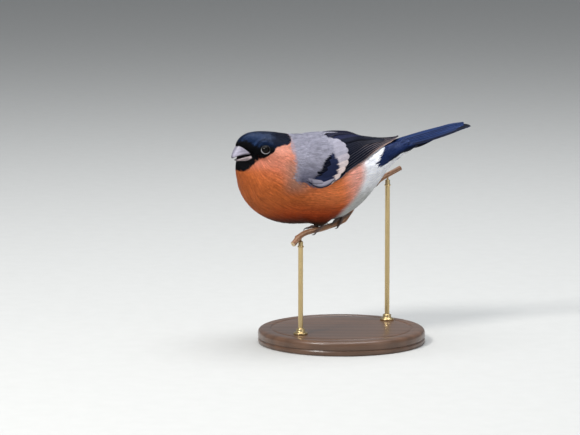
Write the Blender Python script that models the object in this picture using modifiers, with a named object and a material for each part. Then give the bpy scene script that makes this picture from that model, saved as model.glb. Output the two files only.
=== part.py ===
"""Still, life-size model of a perched male bullfinch on a plain display stand.

The bird is built in its own frame, in millimetres: +X runs from bill to tail, +Y to the
bird's right side and +Z up, with Z = 0 at the lowest point of the belly.  One empty turns and
lifts the whole bird onto its perch.  World units are metres, +Z is up, and the origin is the
centre of the underside of the stand's base.
"""

import math

import bmesh
import bpy
import numpy as np
from mathutils import Matrix, Vector

MM = 0.001                      # one millimetre in metres
GAP = 0.3                       # clearance between neighbouring solids, mm

# --- pose -----------------------------------------------------------------------------------
BELLY_HEIGHT = 74.0             # lowest belly feather above the table
BIRD_SHIFT_X = -10.3            # bird's origin from the centre of the stand
BODY_YAW = math.radians(15.0)   # tail turned away, breast turned towards -Y
HEAD_YAW = math.radians(7.0)    # head turned a little further than the body
NECK_PIVOT = (-38.0, 0.0, 46.0)

# --- trunk, feathers included -----------------------------------------------------------------
BREAST_CENTRE = (-20.0, 0.0, 32.0)   # the first station; in front of it the breast is rounded
BREAST_REACH = 36.0             # from the breast's centre forward to its front
BREAST_HALF_WIDTH = 26.0
BREAST_RISE = 25.0              # from the breast's centre up to the nape
BREAST_DROP = 31.0              # from the breast's centre down to the belly
# station along the body: (height of back, height of belly, half width, height of widest part)
TRUNK_STATIONS = {
    -20.0: (57.0, 1.0, 26.0, 32.0),
    -5.0: (56.6, 1.3, 26.0, 29.5),
    8.0: (55.9, 4.4, 24.2, 30.0),
    20.0: (54.0, 10.4, 20.8, 33.0),
    30.0: (52.2, 20.6, 16.6, 37.0),
    39.0: (51.2, 32.4, 12.6, 42.0),
    48.0: (51.2, 40.2, 9.8, 46.0),
    58.0: (53.0, 46.2, 8.8, 49.8),
}

# --- head, feathers included: (centre, half sizes) in the head's own frame -----------------------
SKULL = ((-36.5, 0.0, 46.8), (15.5, 12.6, 11.9))
FACE = ((-46.5, 0.0, 48.2), (10.5, 6.8, 9.7))
THROAT = ((-46.5, 0.0, 37.5), (9.3, 8.0, 8.5))
CHEEK = ((-36.0, 7.5, 41.5), (11.0, 6.6, 8.5))
BLEND = 4.5                     # radius over which the rounded masses run together

# --- line inside the body from which its surface is measured ---------------------------------
SPINE = ((-42.0, 47.5), (-34.0, 39.5), (-20.0, 32.0), (0.0, 29.0), (20.0, 33.5),
         (38.0, 41.5), (52.0, 47.5))
FRONT_POLE = (-0.976, 0.0, -0.22)
RING_POINTS = 28
FACE_RINGS = 10
BODY_RINGS = 25
TRUNK_END = 0.96                # where the tail's root begins, as a part of the spine's length
REACH = 60.0                    # longer than any radius of the body
HEAD_CUT = ((-25.0, 58.0), (-57.0, 30.0))   # nape and throat: (x, z) of the cut behind the head
NECK_CUT = ((-17.0, 57.0), (-50.0, 13.5))   # between shoulders and breast: the cut behind the neck

# --- eyes, in the head's own frame -----------------------------------------------------------
EYE_RADIUS = 2.9
EYE_PLACE = (-42.7, 0.0, 49.0)  # the eye's place on the side of the head, seen square on
EYE_PROUD = 0.55                # how far the eyeball stands out of the plumage

# --- bill, in the head's own frame: (x, z) of edge and ridge from base to tip ------------------
UPPER_EDGE = ((-46.8, 46.4), (-50.5, 45.7), (-54.0, 45.4), (-57.2, 44.7), (-59.4, 43.7), (-60.3, 43.1))
UPPER_RIDGE = ((-54.6, 53.2), (-56.4, 51.9), (-58.1, 49.9), (-59.5, 47.5), (-60.3, 45.3), (-60.6, 43.7))
UPPER_HALF_WIDTH = (4.5, 4.3, 3.8, 2.8, 1.5, 0.5)
LOWER_EDGE = ((-46.8, 44.9), (-50.0, 44.6), (-53.2, 43.9), (-56.0, 43.0), (-58.4, 42.3))
LOWER_KEEL = ((-47.6, 40.2), (-50.4, 40.1), (-53.4, 40.4), (-56.2, 41.0), (-58.6, 41.9))
LOWER_HALF_WIDTH = (4.3, 4.0, 3.3, 2.3, 0.7)
BILL_ARCH_POINTS = 9
BILL_FLOOR_POINTS = 3
BILL_HOLLOW = 0.12              # how far the floor rises into the arch, as a part of its height

# --- wings: (upper edge, lower edge) in degrees round the spine by place along it ----------------
WING_EDGES = {
    0.245: (-52.0, -68.0),
    0.29: (-38.0, -86.0),
    0.35: (-22.0, -94.0),
    0.41: (-12.0, -97.0),
    0.48: (-7.0, -87.0),
    0.60: (-5.0, -74.0),
    0.75: (-5.0, -61.0),
    0.88: (-5.0, -40.0),
    0.955: (-6.0, -21.0),
    0.985: (-10.0, -14.0),
}
WING_STATIONS = 20
WING_STRIPS = 7
WING_EDGE_THICKNESS = 0.6
WING_THICKNESS = 1.9
WING_FULLNESS = 0.6             # below one keeps the blade thick close to its edges
WING_TIP_START = 0.88           # place along the spine where the wing's tip leaves the body
WING_TIP_LIFT = 0.7             # how far the very tip stands off it

# --- tail --------------------------------------------------------------------------------------
TAIL_TIP = (88.6, 0.0, 59.9)    # middle of the tail's end
TAIL_ROLL = math.radians(-9.0)  # right edge a little lower
TAIL_COVERT_SHARE = 0.34        # part of the length over which the coverts thin out
TAIL_HALF_WIDTH = (8.8, 9.6, 11.6)      # root, middle, end
TAIL_ARCH = (4.4, 4.0, 2.4)             # how much the middle stands above the edges
TAIL_THICKNESS = (4.2, 2.2, 0.8)
TAIL_NOTCH = 3.2                # the middle feathers end this much short of the outer ones
TAIL_NOTCH_SHARE = 0.6          # place across the half width where the tail keeps its named length
TAIL_STATIONS = 12

# --- perch, in the world frame -------------------------------------------------------------------
PERCH_ROUTE = ((-30.2, -29.0, 65.6), (-23.6, -22.3, 71.2), (-10.0, -7.6, 73.0), (1.6, 4.8, 76.4),
               (11.0, 16.8, 87.6), (23.8, 24.4, 98.2), (37.4, 31.6, 105.2))
PERCH_RADIUS = 1.6
PERCH_STEPS = 33
PERCH_NODE_PLACES = (0.09, 0.50, 0.80)  # where leaves once grew, as parts of the length
PERCH_NODE_SWELL = 0.35
PERCH_NODE_WIDTH = 0.022
PERCH_ROOT_SWELL = 1.04         # the stem is this much thicker at its front end
PERCH_TAPER = 0.12              # and loses this much of its radius towards the back

# --- legs ----------------------------------------------------------------------------------------
THIGH_RADII = (6.4, 4.8, 6.0)
THIGH_PLACE = (-1.6, 2.8, 5.4)  # middle of the thigh from the sole's pad: back, outwards, up
TARSUS_RADIUS = 0.95
TOE_RADIUS = 0.78
TOE_ROOT_SWELL = 1.12           # radius at the root and how much of it is lost at the claw,
TOE_TAPER = 0.3                 # both as parts of the toe's radius
TOE_CLEARANCE = 1.3 * GAP       # between the toes and the stem
PAD_RADII = (1.75, 1.75, 1.2)   # sole's pad, as parts of the toe's radius
PAD_CLEARANCE = 1.5 * GAP
CLAW_ROOT_SHARE = 0.62          # claw's radius at its root, as a part of the toe's radius
CLAW_RADIUS = 0.28              # at its point
CLAW_ARCH = 0.4
TOE_STEPS = 6
CLAW_STEPS = 3
CLAW_CURL = 26.0                # further turn of a claw round the perch, degrees
# place along the perch of each foot, and the body side it belongs to
FEET = {"left": (0.30, -1.0), "right": (0.47, 1.0)}
# toe: (run along the perch, negative to the front; turn round the perch start, end; claw run)
TOES = {
    "middle": (-8.8, 5.0, 38.0, -3.4),
    "inner": (-6.2, 28.0, 116.0, -2.4),
    "outer": (-6.8, -28.0, -112.0, -2.6),
    "hind": (5.4, 8.0, 44.0, 3.2),
}

# --- stand -----------------------------------------------------------------------------------------
BASE_RADIUS = 52.0
BASE_HEIGHT = 9.0
BASE_ROUNDING = 2.5
BASE_STEPS = 48
ROD_RADIUS = 1.5
ROD_PIN_RADIUS = 0.6
ROD_PIN_DEPTH = 0.4             # how far the pin reaches past the middle of the stem
ROD_PIN_ROOT = 1.0              # how deep the pin is sunk into the rod
ROD_SIDES = 20
ROD_PLACES = {"front": 0.13, "back": 0.90}    # parts of the perch's length


def smooth_line(keys, values):
    """Return a function that runs smoothly through values given at increasing keys."""
    keys = np.asarray(keys, float)
    values = np.asarray(values, float)
    slopes = np.gradient(values, keys, axis=0)

    def curve(x):
        x = np.clip(np.asarray(x, float), keys[0], keys[-1])
        i = np.clip(np.searchsorted(keys, x, side="right") - 1, 0, len(keys) - 2)
        span = keys[i + 1] - keys[i]
        t = (x - keys[i]) / span
        if values.ndim > 1:
            span = span[..., None]
            t = t[..., None]
        rest = 1.0 - t
        return (values[i] * (1.0 + 2.0 * t) * rest ** 2
                + slopes[i] * span * t * rest ** 2
                + values[i + 1] * t ** 2 * (3.0 - 2.0 * t)
                - slopes[i + 1] * span * t ** 2 * rest)

    return curve


trunk_at = smooth_line(list(TRUNK_STATIONS), list(TRUNK_STATIONS.values()))
spine_keys = np.linspace(0.0, 1.0, len(SPINE))
spine_at = smooth_line(spine_keys, SPINE)


def blend(first, second, radius):
    """Smooth minimum of two distances."""
    h = np.clip(0.5 + 0.5 * (second - first) / radius, 0.0, 1.0)
    return second + (first - second) * h - radius * h * (1.0 - h)


def egg_distance(p, centre, half):
    """Distance from an ellipsoid, near enough close to its surface."""
    level = np.sqrt((((p - centre) / half) ** 2).sum(axis=-1))
    return (level - 1.0) * min(half)


def to_head(p):
    """Bird frame to the head's own frame."""
    c, s = math.cos(-HEAD_YAW), math.sin(-HEAD_YAW)
    q = p - NECK_PIVOT
    turned = np.stack([c * q[..., 0] - s * q[..., 1], s * q[..., 0] + c * q[..., 1], q[..., 2]], -1)
    return turned + NECK_PIVOT


def from_head(p):
    """Head's own frame to the bird frame."""
    c, s = math.cos(HEAD_YAW), math.sin(HEAD_YAW)
    q = np.asarray(p, float) - NECK_PIVOT
    turned = np.stack([c * q[..., 0] - s * q[..., 1], s * q[..., 0] + c * q[..., 1], q[..., 2]], -1)
    return turned + NECK_PIVOT


def trunk_distance(p):
    """Distance from the trunk: half an ellipsoid in front, sections by station behind."""
    x, y, z = p[..., 0], p[..., 1], p[..., 2]
    back, belly, half_width, waist = np.moveaxis(trunk_at(x), -1, 0)
    height = np.where(z > waist, back - waist, waist - belly)
    rear = np.sqrt((y / half_width) ** 2 + ((z - waist) / height) ** 2)
    dz = z - BREAST_CENTRE[2]
    rise = np.where(dz > 0.0, BREAST_RISE, BREAST_DROP)
    front = np.sqrt(((x - BREAST_CENTRE[0]) / BREAST_REACH) ** 2
                    + (y / BREAST_HALF_WIDTH) ** 2 + (dz / rise) ** 2)
    level = np.where(x < BREAST_CENTRE[0], front, rear)
    return (level - 1.0) * np.minimum(half_width, height)


def body_distance(p):
    """Distance from the whole body without wings, tail, bill and legs."""
    h = to_head(p)
    mirrored = np.stack([h[..., 0], np.abs(h[..., 1]), h[..., 2]], -1)
    head = blend(egg_distance(h, *SKULL), egg_distance(h, *FACE), BLEND)
    head = blend(head, egg_distance(mirrored, *CHEEK), BLEND)
    head = blend(head, egg_distance(h, *THROAT), BLEND)
    return blend(trunk_distance(p), head, BLEND)


def surface_radius(origin, direction):
    """Length of each ray from inside the body to its surface."""
    step = 1.0
    reach = np.full(len(origin), REACH)
    for k in range(int(REACH / step)):
        t = np.full(len(origin), (k + 1) * step)
        outside = body_distance(origin + direction * t[:, None]) > 0.0
        reach = np.where(outside & (reach == REACH), t, reach)
    low = reach - step
    for _ in range(16):
        middle = 0.5 * (low + reach)
        outside = body_distance(origin + direction * middle[:, None]) > 0.0
        reach = np.where(outside, middle, reach)
        low = np.where(outside, low, middle)
    return reach


def spine_frame(t):
    """Point, tangent and upward normal of the spine, all in the middle plane."""
    point = spine_at(t)
    step = 1e-3
    ahead = spine_at(min(t + step, 1.0)) - spine_at(max(t - step, 0.0))
    tangent = ahead / np.linalg.norm(ahead)
    return (np.array([point[0], 0.0, point[1]]), np.array([tangent[0], 0.0, tangent[1]]),
            np.array([-tangent[1], 0.0, tangent[0]]))


def ring_directions(t):
    """Unit directions square to the spine, starting upwards and turning to the right side."""
    _, _, normal = spine_frame(t)
    angles = np.linspace(0.0, 2.0 * math.pi, RING_POINTS, endpoint=False)
    side = np.array([0.0, 1.0, 0.0])
    return np.cos(angles)[:, None] * normal + np.sin(angles)[:, None] * side


def body_ring(t):
    """Points of the body's surface in the plane square to the spine at t."""
    origin, _, _ = spine_frame(t)
    directions = ring_directions(t)
    origins = np.repeat(origin[None, :], RING_POINTS, axis=0)
    return origins + directions * surface_radius(origins, directions)[:, None]


def face_ring(share):
    """Ring between the front pole (0) and the first ring of the spine (1)."""
    origin, _, _ = spine_frame(0.0)
    pole = np.array(FRONT_POLE) / np.linalg.norm(FRONT_POLE)
    rim = ring_directions(0.0)
    angle = np.arccos(np.clip(rim @ pole, -1.0, 1.0))[:, None]
    directions = (np.sin((1.0 - share) * angle) * pole + np.sin(share * angle) * rim) / np.sin(angle)
    origins = np.repeat(origin[None, :], len(rim), axis=0)
    return origins + directions * surface_radius(origins, directions)[:, None]


def spine_length():
    """Length of the spine in millimetres."""
    points = spine_at(np.linspace(0.0, 1.0, 200))
    return float(np.linalg.norm(np.diff(points, axis=0), axis=1).sum())


# --- building meshes ----------------------------------------------------------------------------

def make_material(name, colour, roughness, metallic=0.0):
    """One Principled material."""
    material = bpy.data.materials.new(name)
    material.use_nodes = True
    shader = material.node_tree.nodes["Principled BSDF"]
    shader.inputs["Base Color"].default_value = (*colour, 1.0)
    shader.inputs["Roughness"].default_value = roughness
    shader.inputs["Metallic"].default_value = metallic
    material.diffuse_color = (*colour, 1.0)
    return material


def add_object(name, mesh, material, parent, collection):
    """Put a mesh into the model with its material, shaded smooth."""
    obj = bpy.data.objects.new(name, mesh)
    collection.objects.link(obj)
    mesh.materials.clear()
    mesh.materials.append(material)
    mesh.shade_smooth()
    mesh.set_sharp_from_angle(angle=math.radians(40.0))
    obj.parent = parent
    return obj


def loft(rings, start_point=None, folded_end=False):
    """Closed skin through rings of equal count, with flat ends unless told otherwise."""
    count = len(rings[0])
    points = [tuple(v * MM for v in p) for ring in rings for p in ring]
    faces = []
    for r in range(len(rings) - 1):
        for k in range(count):
            nxt = (k + 1) % count
            faces.append((r * count + k, r * count + nxt, (r + 1) * count + nxt, (r + 1) * count + k))
    last = (len(rings) - 1) * count
    if start_point is None:
        faces.append(tuple(reversed(range(count))))
    else:
        points.append(tuple(v * MM for v in start_point))
        tip = len(points) - 1
        faces += [(tip, (k + 1) % count, k) for k in range(count)]
    if folded_end:
        half = count // 2
        for k in range(-(count // 4), count // 4):
            upper_now, upper_next = k % count, (k + 1) % count
            lower_now, lower_next = (half - k) % count, (half - k - 1) % count
            corners = [upper_now, upper_next, lower_next, lower_now]
            faces.append(tuple(last + c for c in dict.fromkeys(corners)))
    else:
        faces.append(tuple(range(last, last + count)))
    mesh = bpy.data.meshes.new("loft")
    mesh.from_pydata(points, [], faces)
    tidy = bmesh.new()
    tidy.from_mesh(mesh)
    bmesh.ops.recalc_face_normals(tidy, faces=tidy.faces)
    tidy.to_mesh(mesh)
    tidy.free()
    return mesh


def body_mesh():
    """Head, neck and trunk as one closed skin, from the bill's base to the tail's root."""
    rings = [face_ring(k / FACE_RINGS) for k in range(1, FACE_RINGS)]
    rings += [body_ring(TRUNK_END * k / BODY_RINGS) for k in range(BODY_RINGS + 1)]
    pole = face_ring(0.0).mean(axis=0)
    return loft(rings, start_point=pole)


def sliced(mesh, cut, keep, shift=0.0):
    """Part of a mesh in front of (-1) or behind (+1) a cut, which is closed flat.

    The cut is a plane square to the middle plane through two (x, z) points, moved back by shift.
    """
    (x0, z0), (x1, z1) = cut
    span = math.hypot(x0 - x1, z0 - z1)
    normal = Vector(((z0 - z1) / span, 0.0, -(x0 - x1) / span))
    spot = Vector((x0, 0.0, z0)) * MM + normal * shift * MM
    half = bmesh.new()
    half.from_mesh(mesh)
    geometry = [*half.verts, *half.edges, *half.faces]
    done = bmesh.ops.bisect_plane(half, geom=geometry, dist=1e-7, plane_co=spot, plane_no=normal,
                                  clear_inner=keep > 0, clear_outer=keep < 0)
    rim = [item for item in done["geom_cut"] if isinstance(item, bmesh.types.BMEdge)]
    bmesh.ops.holes_fill(half, edges=rim)
    bmesh.ops.recalc_face_normals(half, faces=half.faces)
    piece = bpy.data.meshes.new("slice")
    half.to_mesh(piece)
    half.free()
    return piece


def bill_mesh(edge, ridge, half_widths, stations, grow=0.0):
    """Half of the bill: an arch from one cutting edge over the ridge to the other, and a floor."""
    keys = np.linspace(0.0, 1.0, len(edge))
    edge_at, ridge_at = smooth_line(keys, edge), smooth_line(keys, ridge)
    width_at = smooth_line(keys, half_widths)
    rings = []
    for u in np.linspace(0.0, 1.0, stations):
        e, r, w = edge_at(u), ridge_at(u), float(width_at(u))
        ring = []
        for phi in np.linspace(0.0, math.pi, BILL_ARCH_POINTS):
            rise = math.sin(phi)
            ring.append((e[0] + (r[0] - e[0]) * rise, w * math.cos(phi), e[1] + (r[1] - e[1]) * rise))
        for k in range(BILL_FLOOR_POINTS):
            y = w * (-1.0 + 2.0 * (k + 1) / (BILL_FLOOR_POINTS + 1))
            hollow = BILL_HOLLOW * (1.0 - (y / w) ** 2)
            ring.append((e[0] + (r[0] - e[0]) * hollow, y, e[1] + (r[1] - e[1]) * hollow))
        ring = np.array(ring)
        middle = ring.mean(axis=0)
        away = ring - middle
        ring += away / np.linalg.norm(away, axis=1)[:, None] * grow
        rings.append(ring)
    along = rings[0].mean(axis=0) - rings[1].mean(axis=0)
    rings[0] = rings[0] + along / np.linalg.norm(along) * grow
    return loft([from_head(ring) for ring in rings])


def eye_centre(side):
    """Centre of the eyeball on one side, in the bird frame."""
    inside = np.array([EYE_PLACE])
    outward = np.array([[0.0, side, 0.0]])
    turn = math.cos(HEAD_YAW), math.sin(HEAD_YAW)
    outward_bird = np.array([[-turn[1] * side, turn[0] * side, 0.0]])
    origin = from_head(inside)
    radius = surface_radius(origin, outward_bird)
    return from_head(inside + outward * (radius[:, None] - EYE_RADIUS + EYE_PROUD))[0]


def ball_mesh(centre, radii, segments=12, rings=8):
    """Closed ball or egg round a centre, in millimetres of the bird frame."""
    shape = bmesh.new()
    bmesh.ops.create_uvsphere(shape, u_segments=segments, v_segments=rings, radius=1.0)
    for v in shape.verts:
        v.co = Vector([(c + r * x) * MM for c, r, x in zip(centre, radii, v.co)])
    mesh = bpy.data.meshes.new("ball")
    shape.to_mesh(mesh)
    shape.free()
    return mesh


def wing_mesh(side):
    """Folded wing: a blade that follows the trunk's side, thickest along its middle."""
    edges_at = smooth_line(list(WING_EDGES), list(WING_EDGES.values()))
    keys = list(WING_EDGES)
    outer, inner = [], []
    for t in np.linspace(keys[0], keys[-1], WING_STATIONS):
        upper, lower = edges_at(t)
        origin, _, normal = spine_frame(float(t))
        lift = WING_TIP_LIFT * max(t - WING_TIP_START, 0.0) / (keys[-1] - WING_TIP_START)
        for v in np.linspace(0.0, 1.0, WING_STRIPS):
            angle = math.radians(upper + (lower - upper) * v) * -side
            direction = math.cos(angle) * normal + math.sin(angle) * np.array([0.0, 1.0, 0.0])
            radius = float(surface_radius(origin[None], direction[None])[0]) + GAP + lift
            swell = math.sin(math.pi * v) ** WING_FULLNESS
            depth = WING_EDGE_THICKNESS + (WING_THICKNESS - WING_EDGE_THICKNESS) * swell
            inner.append(origin + direction * radius)
            outer.append(origin + direction * (radius + depth))
    rings = []
    for k in range(WING_STATIONS):
        row = slice(k * WING_STRIPS, (k + 1) * WING_STRIPS)
        rings.append(outer[row] + inner[row][::-1])
    return loft(rings)


def tail_mesh(gap):
    """Closed tail: from the trunk's last ring to a thin, arched, notched fan."""
    root_ring = body_ring(TRUNK_END + gap)
    origin, _, _ = spine_frame(TRUNK_END + gap)
    centre = root_ring.mean(axis=0)
    tip = np.array(TAIL_TIP)
    axis = (tip - centre) / np.linalg.norm(tip - centre)
    side = np.array([0.0, math.cos(TAIL_ROLL), math.sin(TAIL_ROLL)])
    up = np.cross(axis, side)
    angles = np.linspace(0.0, 2.0 * math.pi, RING_POINTS, endpoint=False)
    shares = (0.0, 0.5, 1.0)
    width_at = smooth_line(shares, TAIL_HALF_WIDTH)
    arch_at = smooth_line(shares, TAIL_ARCH)
    thickness_at = smooth_line(shares, TAIL_THICKNESS)
    length = np.linalg.norm(tip - centre)
    rings = [root_ring]
    for k in range(1, TAIL_STATIONS + 1):
        share = k / TAIL_STATIONS
        width, arch, thickness = float(width_at(share)), float(arch_at(share)), float(thickness_at(share))
        across = np.sin(angles)
        height = arch * (0.5 - across ** 2) + 0.5 * thickness * np.cos(angles)
        run = length * share + TAIL_NOTCH * share * (np.abs(across) - TAIL_NOTCH_SHARE)
        blade = (centre + run[:, None] * axis + (width * across)[:, None] * side
                 + height[:, None] * up)
        ease = min(share / TAIL_COVERT_SHARE, 1.0)
        ease = ease * ease * (3.0 - 2.0 * ease)
        start = root_ring - centre
        slid = centre + start + (length * share) * axis
        rings.append(slid + (blade - slid) * ease)
    return loft(rings, folded_end=True)


# --- perch, legs and stand -------------------------------------------------------------------------

perch_at = smooth_line(np.linspace(0.0, 1.0, len(PERCH_ROUTE)), PERCH_ROUTE)
perch_length = float(np.linalg.norm(np.diff(perch_at(np.linspace(0.0, 1.0, 200)), axis=0), axis=1).sum())


def perch_radius(share):
    """Radius of the stem, swollen where leaves once grew."""
    swell = sum(math.exp(-((share - place) / PERCH_NODE_WIDTH) ** 2) for place in PERCH_NODE_PLACES)
    return PERCH_RADIUS * (PERCH_ROOT_SWELL - PERCH_TAPER * share) + PERCH_NODE_SWELL * swell


def perch_frame(share):
    """Point of the stem, its direction, upward normal and sideways normal."""
    step = 1e-3
    ahead = perch_at(min(share + step, 1.0)) - perch_at(max(share - step, 0.0))
    along = ahead / np.linalg.norm(ahead)
    up = np.array([0.0, 0.0, 1.0]) - along[2] * along
    up /= np.linalg.norm(up)
    return perch_at(share), along, up, np.cross(up, along)


def tube_mesh(points, radii, bevel_resolution):
    """Round tube through points in millimetres, as a closed mesh."""
    curve = bpy.data.curves.new("tube", "CURVE")
    curve.dimensions = "3D"
    curve.bevel_depth = MM
    curve.bevel_resolution = bevel_resolution
    curve.use_fill_caps = True
    spline = curve.splines.new("POLY")
    spline.points.add(len(points) - 1)
    for spot, point, radius in zip(spline.points, points, radii):
        spot.co = (*[float(v) * MM for v in point], 1.0)
        spot.radius = radius
    holder = bpy.data.objects.new("tube", curve)
    bpy.context.scene.collection.objects.link(holder)
    bpy.context.view_layer.update()
    graph = bpy.context.evaluated_depsgraph_get()
    mesh = bpy.data.meshes.new_from_object(holder.evaluated_get(graph))
    bpy.data.objects.remove(holder, do_unlink=True)
    weld = bmesh.new()
    weld.from_mesh(mesh)
    bmesh.ops.remove_doubles(weld, verts=weld.verts, dist=1e-6)
    bmesh.ops.recalc_face_normals(weld, faces=weld.faces)
    weld.to_mesh(mesh)
    weld.free()
    return mesh


def combine(base, others, operation):
    """Boolean of one mesh with others, as a new mesh."""
    holders = [bpy.data.objects.new("operand", mesh) for mesh in [base, *others]]
    for holder in holders:
        bpy.context.scene.collection.objects.link(holder)
    for other in holders[1:]:
        modifier = holders[0].modifiers.new("join", "BOOLEAN")
        modifier.operation = operation
        modifier.solver = "EXACT"
        modifier.object = other
    bpy.context.view_layer.update()
    graph = bpy.context.evaluated_depsgraph_get()
    mesh = bpy.data.meshes.new_from_object(holders[0].evaluated_get(graph))
    for holder in holders:
        bpy.data.objects.remove(holder, do_unlink=True)
    return mesh


def perch_mesh(grow=0.0):
    """Cut length of stem."""
    shares = np.linspace(0.0, 1.0, PERCH_STEPS)
    return tube_mesh([perch_at(u) for u in shares], [perch_radius(u) + grow for u in shares], 2)


def toe_mesh(foot_share, side, sizes, grow=0.0):
    """One toe wound partly round the stem, with its claw."""
    run, turn_start, turn_end, claw_run = sizes
    points, radii = [], []
    for k in range(TOE_STEPS + CLAW_STEPS + 1):
        part = min(k / TOE_STEPS, 1.0)
        claw = max(k - TOE_STEPS, 0) / CLAW_STEPS
        distance = run * part + claw_run * claw
        turn = turn_start + (turn_end - turn_start) * part + math.copysign(CLAW_CURL, turn_end) * claw
        radius = TOE_RADIUS * (TOE_ROOT_SWELL - TOE_TAPER * part)
        if claw > 0.0:
            radius = CLAW_ROOT_SHARE * TOE_RADIUS * (1.0 - claw) + CLAW_RADIUS * claw
        share = foot_share + distance / perch_length
        centre, _, up, across = perch_frame(share)
        angle = -side * math.radians(turn)
        outward = math.cos(angle) * up + math.sin(angle) * across
        clear = perch_radius(share) + TOE_CLEARANCE + radius
        clear += CLAW_ARCH * math.sin(math.pi * claw)
        points.append(centre + outward * clear)
        radii.append(radius + grow)
    return tube_mesh(points, radii, 1)


def foot_pad(foot_share):
    """Centre and radii of the sole's pad, above the stem."""
    centre, _, up, _ = perch_frame(foot_share)
    radii = np.array(PAD_RADII) * TOE_RADIUS
    return centre + up * (perch_radius(foot_share) + PAD_CLEARANCE + radii[2]), radii


def foot_pieces(foot_share, side, grow=0.0):
    """The sole's pad and the four toes, each a closed mesh in the world frame."""
    centre, radii = foot_pad(foot_share)
    toes = [toe_mesh(foot_share, side, sizes, grow) for sizes in TOES.values()]
    return [ball_mesh(centre, radii + grow, 10, 7), *toes]


def to_bird(p):
    """World to bird frame, in millimetres."""
    c, s = math.cos(BODY_YAW), math.sin(BODY_YAW)
    x, y, z = p[0] - BIRD_SHIFT_X, p[1], p[2] - BELLY_HEIGHT
    return np.array([c * x + s * y, -s * x + c * y, z])


def moved_to_bird(mesh):
    """Copy of a world-frame mesh in the bird frame."""
    copy = mesh.copy()
    copy.transform(Matrix.Rotation(-BODY_YAW, 4, "Z")
                   @ Matrix.Translation((-BIRD_SHIFT_X * MM, 0.0, -BELLY_HEIGHT * MM)))
    return copy


def rod_spot(share):
    """Where a rod meets the stem: the stem's middle, and the height of the rod's shoulder."""
    centre, along, _, _ = perch_frame(share)
    level = math.hypot(along[0], along[1])
    widest = perch_radius(share) + PERCH_NODE_SWELL
    drop = (widest + ROD_RADIUS * abs(along[2])) / level + GAP
    return centre, centre[2] - drop


def cylinder_mesh(centre, radius, low, high):
    """Upright cylinder between two heights, in millimetres."""
    shape = bmesh.new()
    middle = Matrix.Translation((centre[0] * MM, centre[1] * MM, 0.5 * (low + high) * MM))
    bmesh.ops.create_cone(shape, cap_ends=True, segments=ROD_SIDES, radius1=radius * MM,
                          radius2=radius * MM, depth=(high - low) * MM, matrix=middle)
    mesh = bpy.data.meshes.new("cylinder")
    shape.to_mesh(mesh)
    shape.free()
    return mesh


def rod_mesh(share):
    """Rod standing on the base, with a thin pin that enters the stem."""
    centre, shoulder = rod_spot(share)
    rod = cylinder_mesh(centre, ROD_RADIUS, BASE_HEIGHT + GAP, shoulder)
    pin = cylinder_mesh(centre, ROD_PIN_RADIUS, shoulder - ROD_PIN_ROOT, centre[2] + ROD_PIN_DEPTH)
    return combine(rod, [pin], "UNION")


def pin_hole_mesh(share):
    """Hole in the stem for a rod's pin."""
    centre, shoulder = rod_spot(share)
    top = centre[2] + ROD_PIN_DEPTH + GAP
    return cylinder_mesh(centre, ROD_PIN_RADIUS + GAP, shoulder - ROD_PIN_ROOT, top)


def add_base(material, collection):
    """Turned round base with a softened top edge, standing on z = 0."""
    profile = [(0.0, BASE_HEIGHT)]
    for angle in np.linspace(0.5 * math.pi, 0.0, 5):
        profile.append((BASE_RADIUS - BASE_ROUNDING * (1.0 - math.cos(angle)),
                        BASE_HEIGHT - BASE_ROUNDING * (1.0 - math.sin(angle))))
    profile += [(BASE_RADIUS, 0.0), (0.0, 0.0)]
    mesh = bpy.data.meshes.new("stand_base")
    mesh.from_pydata([(r * MM, 0.0, z * MM) for r, z in profile],
                     [(k, k + 1) for k in range(len(profile) - 1)], [])
    base = add_object("stand_base", mesh, material, None, collection)
    turn = base.modifiers.new("turn", "SCREW")
    turn.axis = "Z"
    turn.steps = BASE_STEPS
    turn.render_steps = BASE_STEPS
    turn.use_merge_vertices = True
    turn.merge_threshold = 0.0001 * MM
    turn.use_smooth_shade = True


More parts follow.
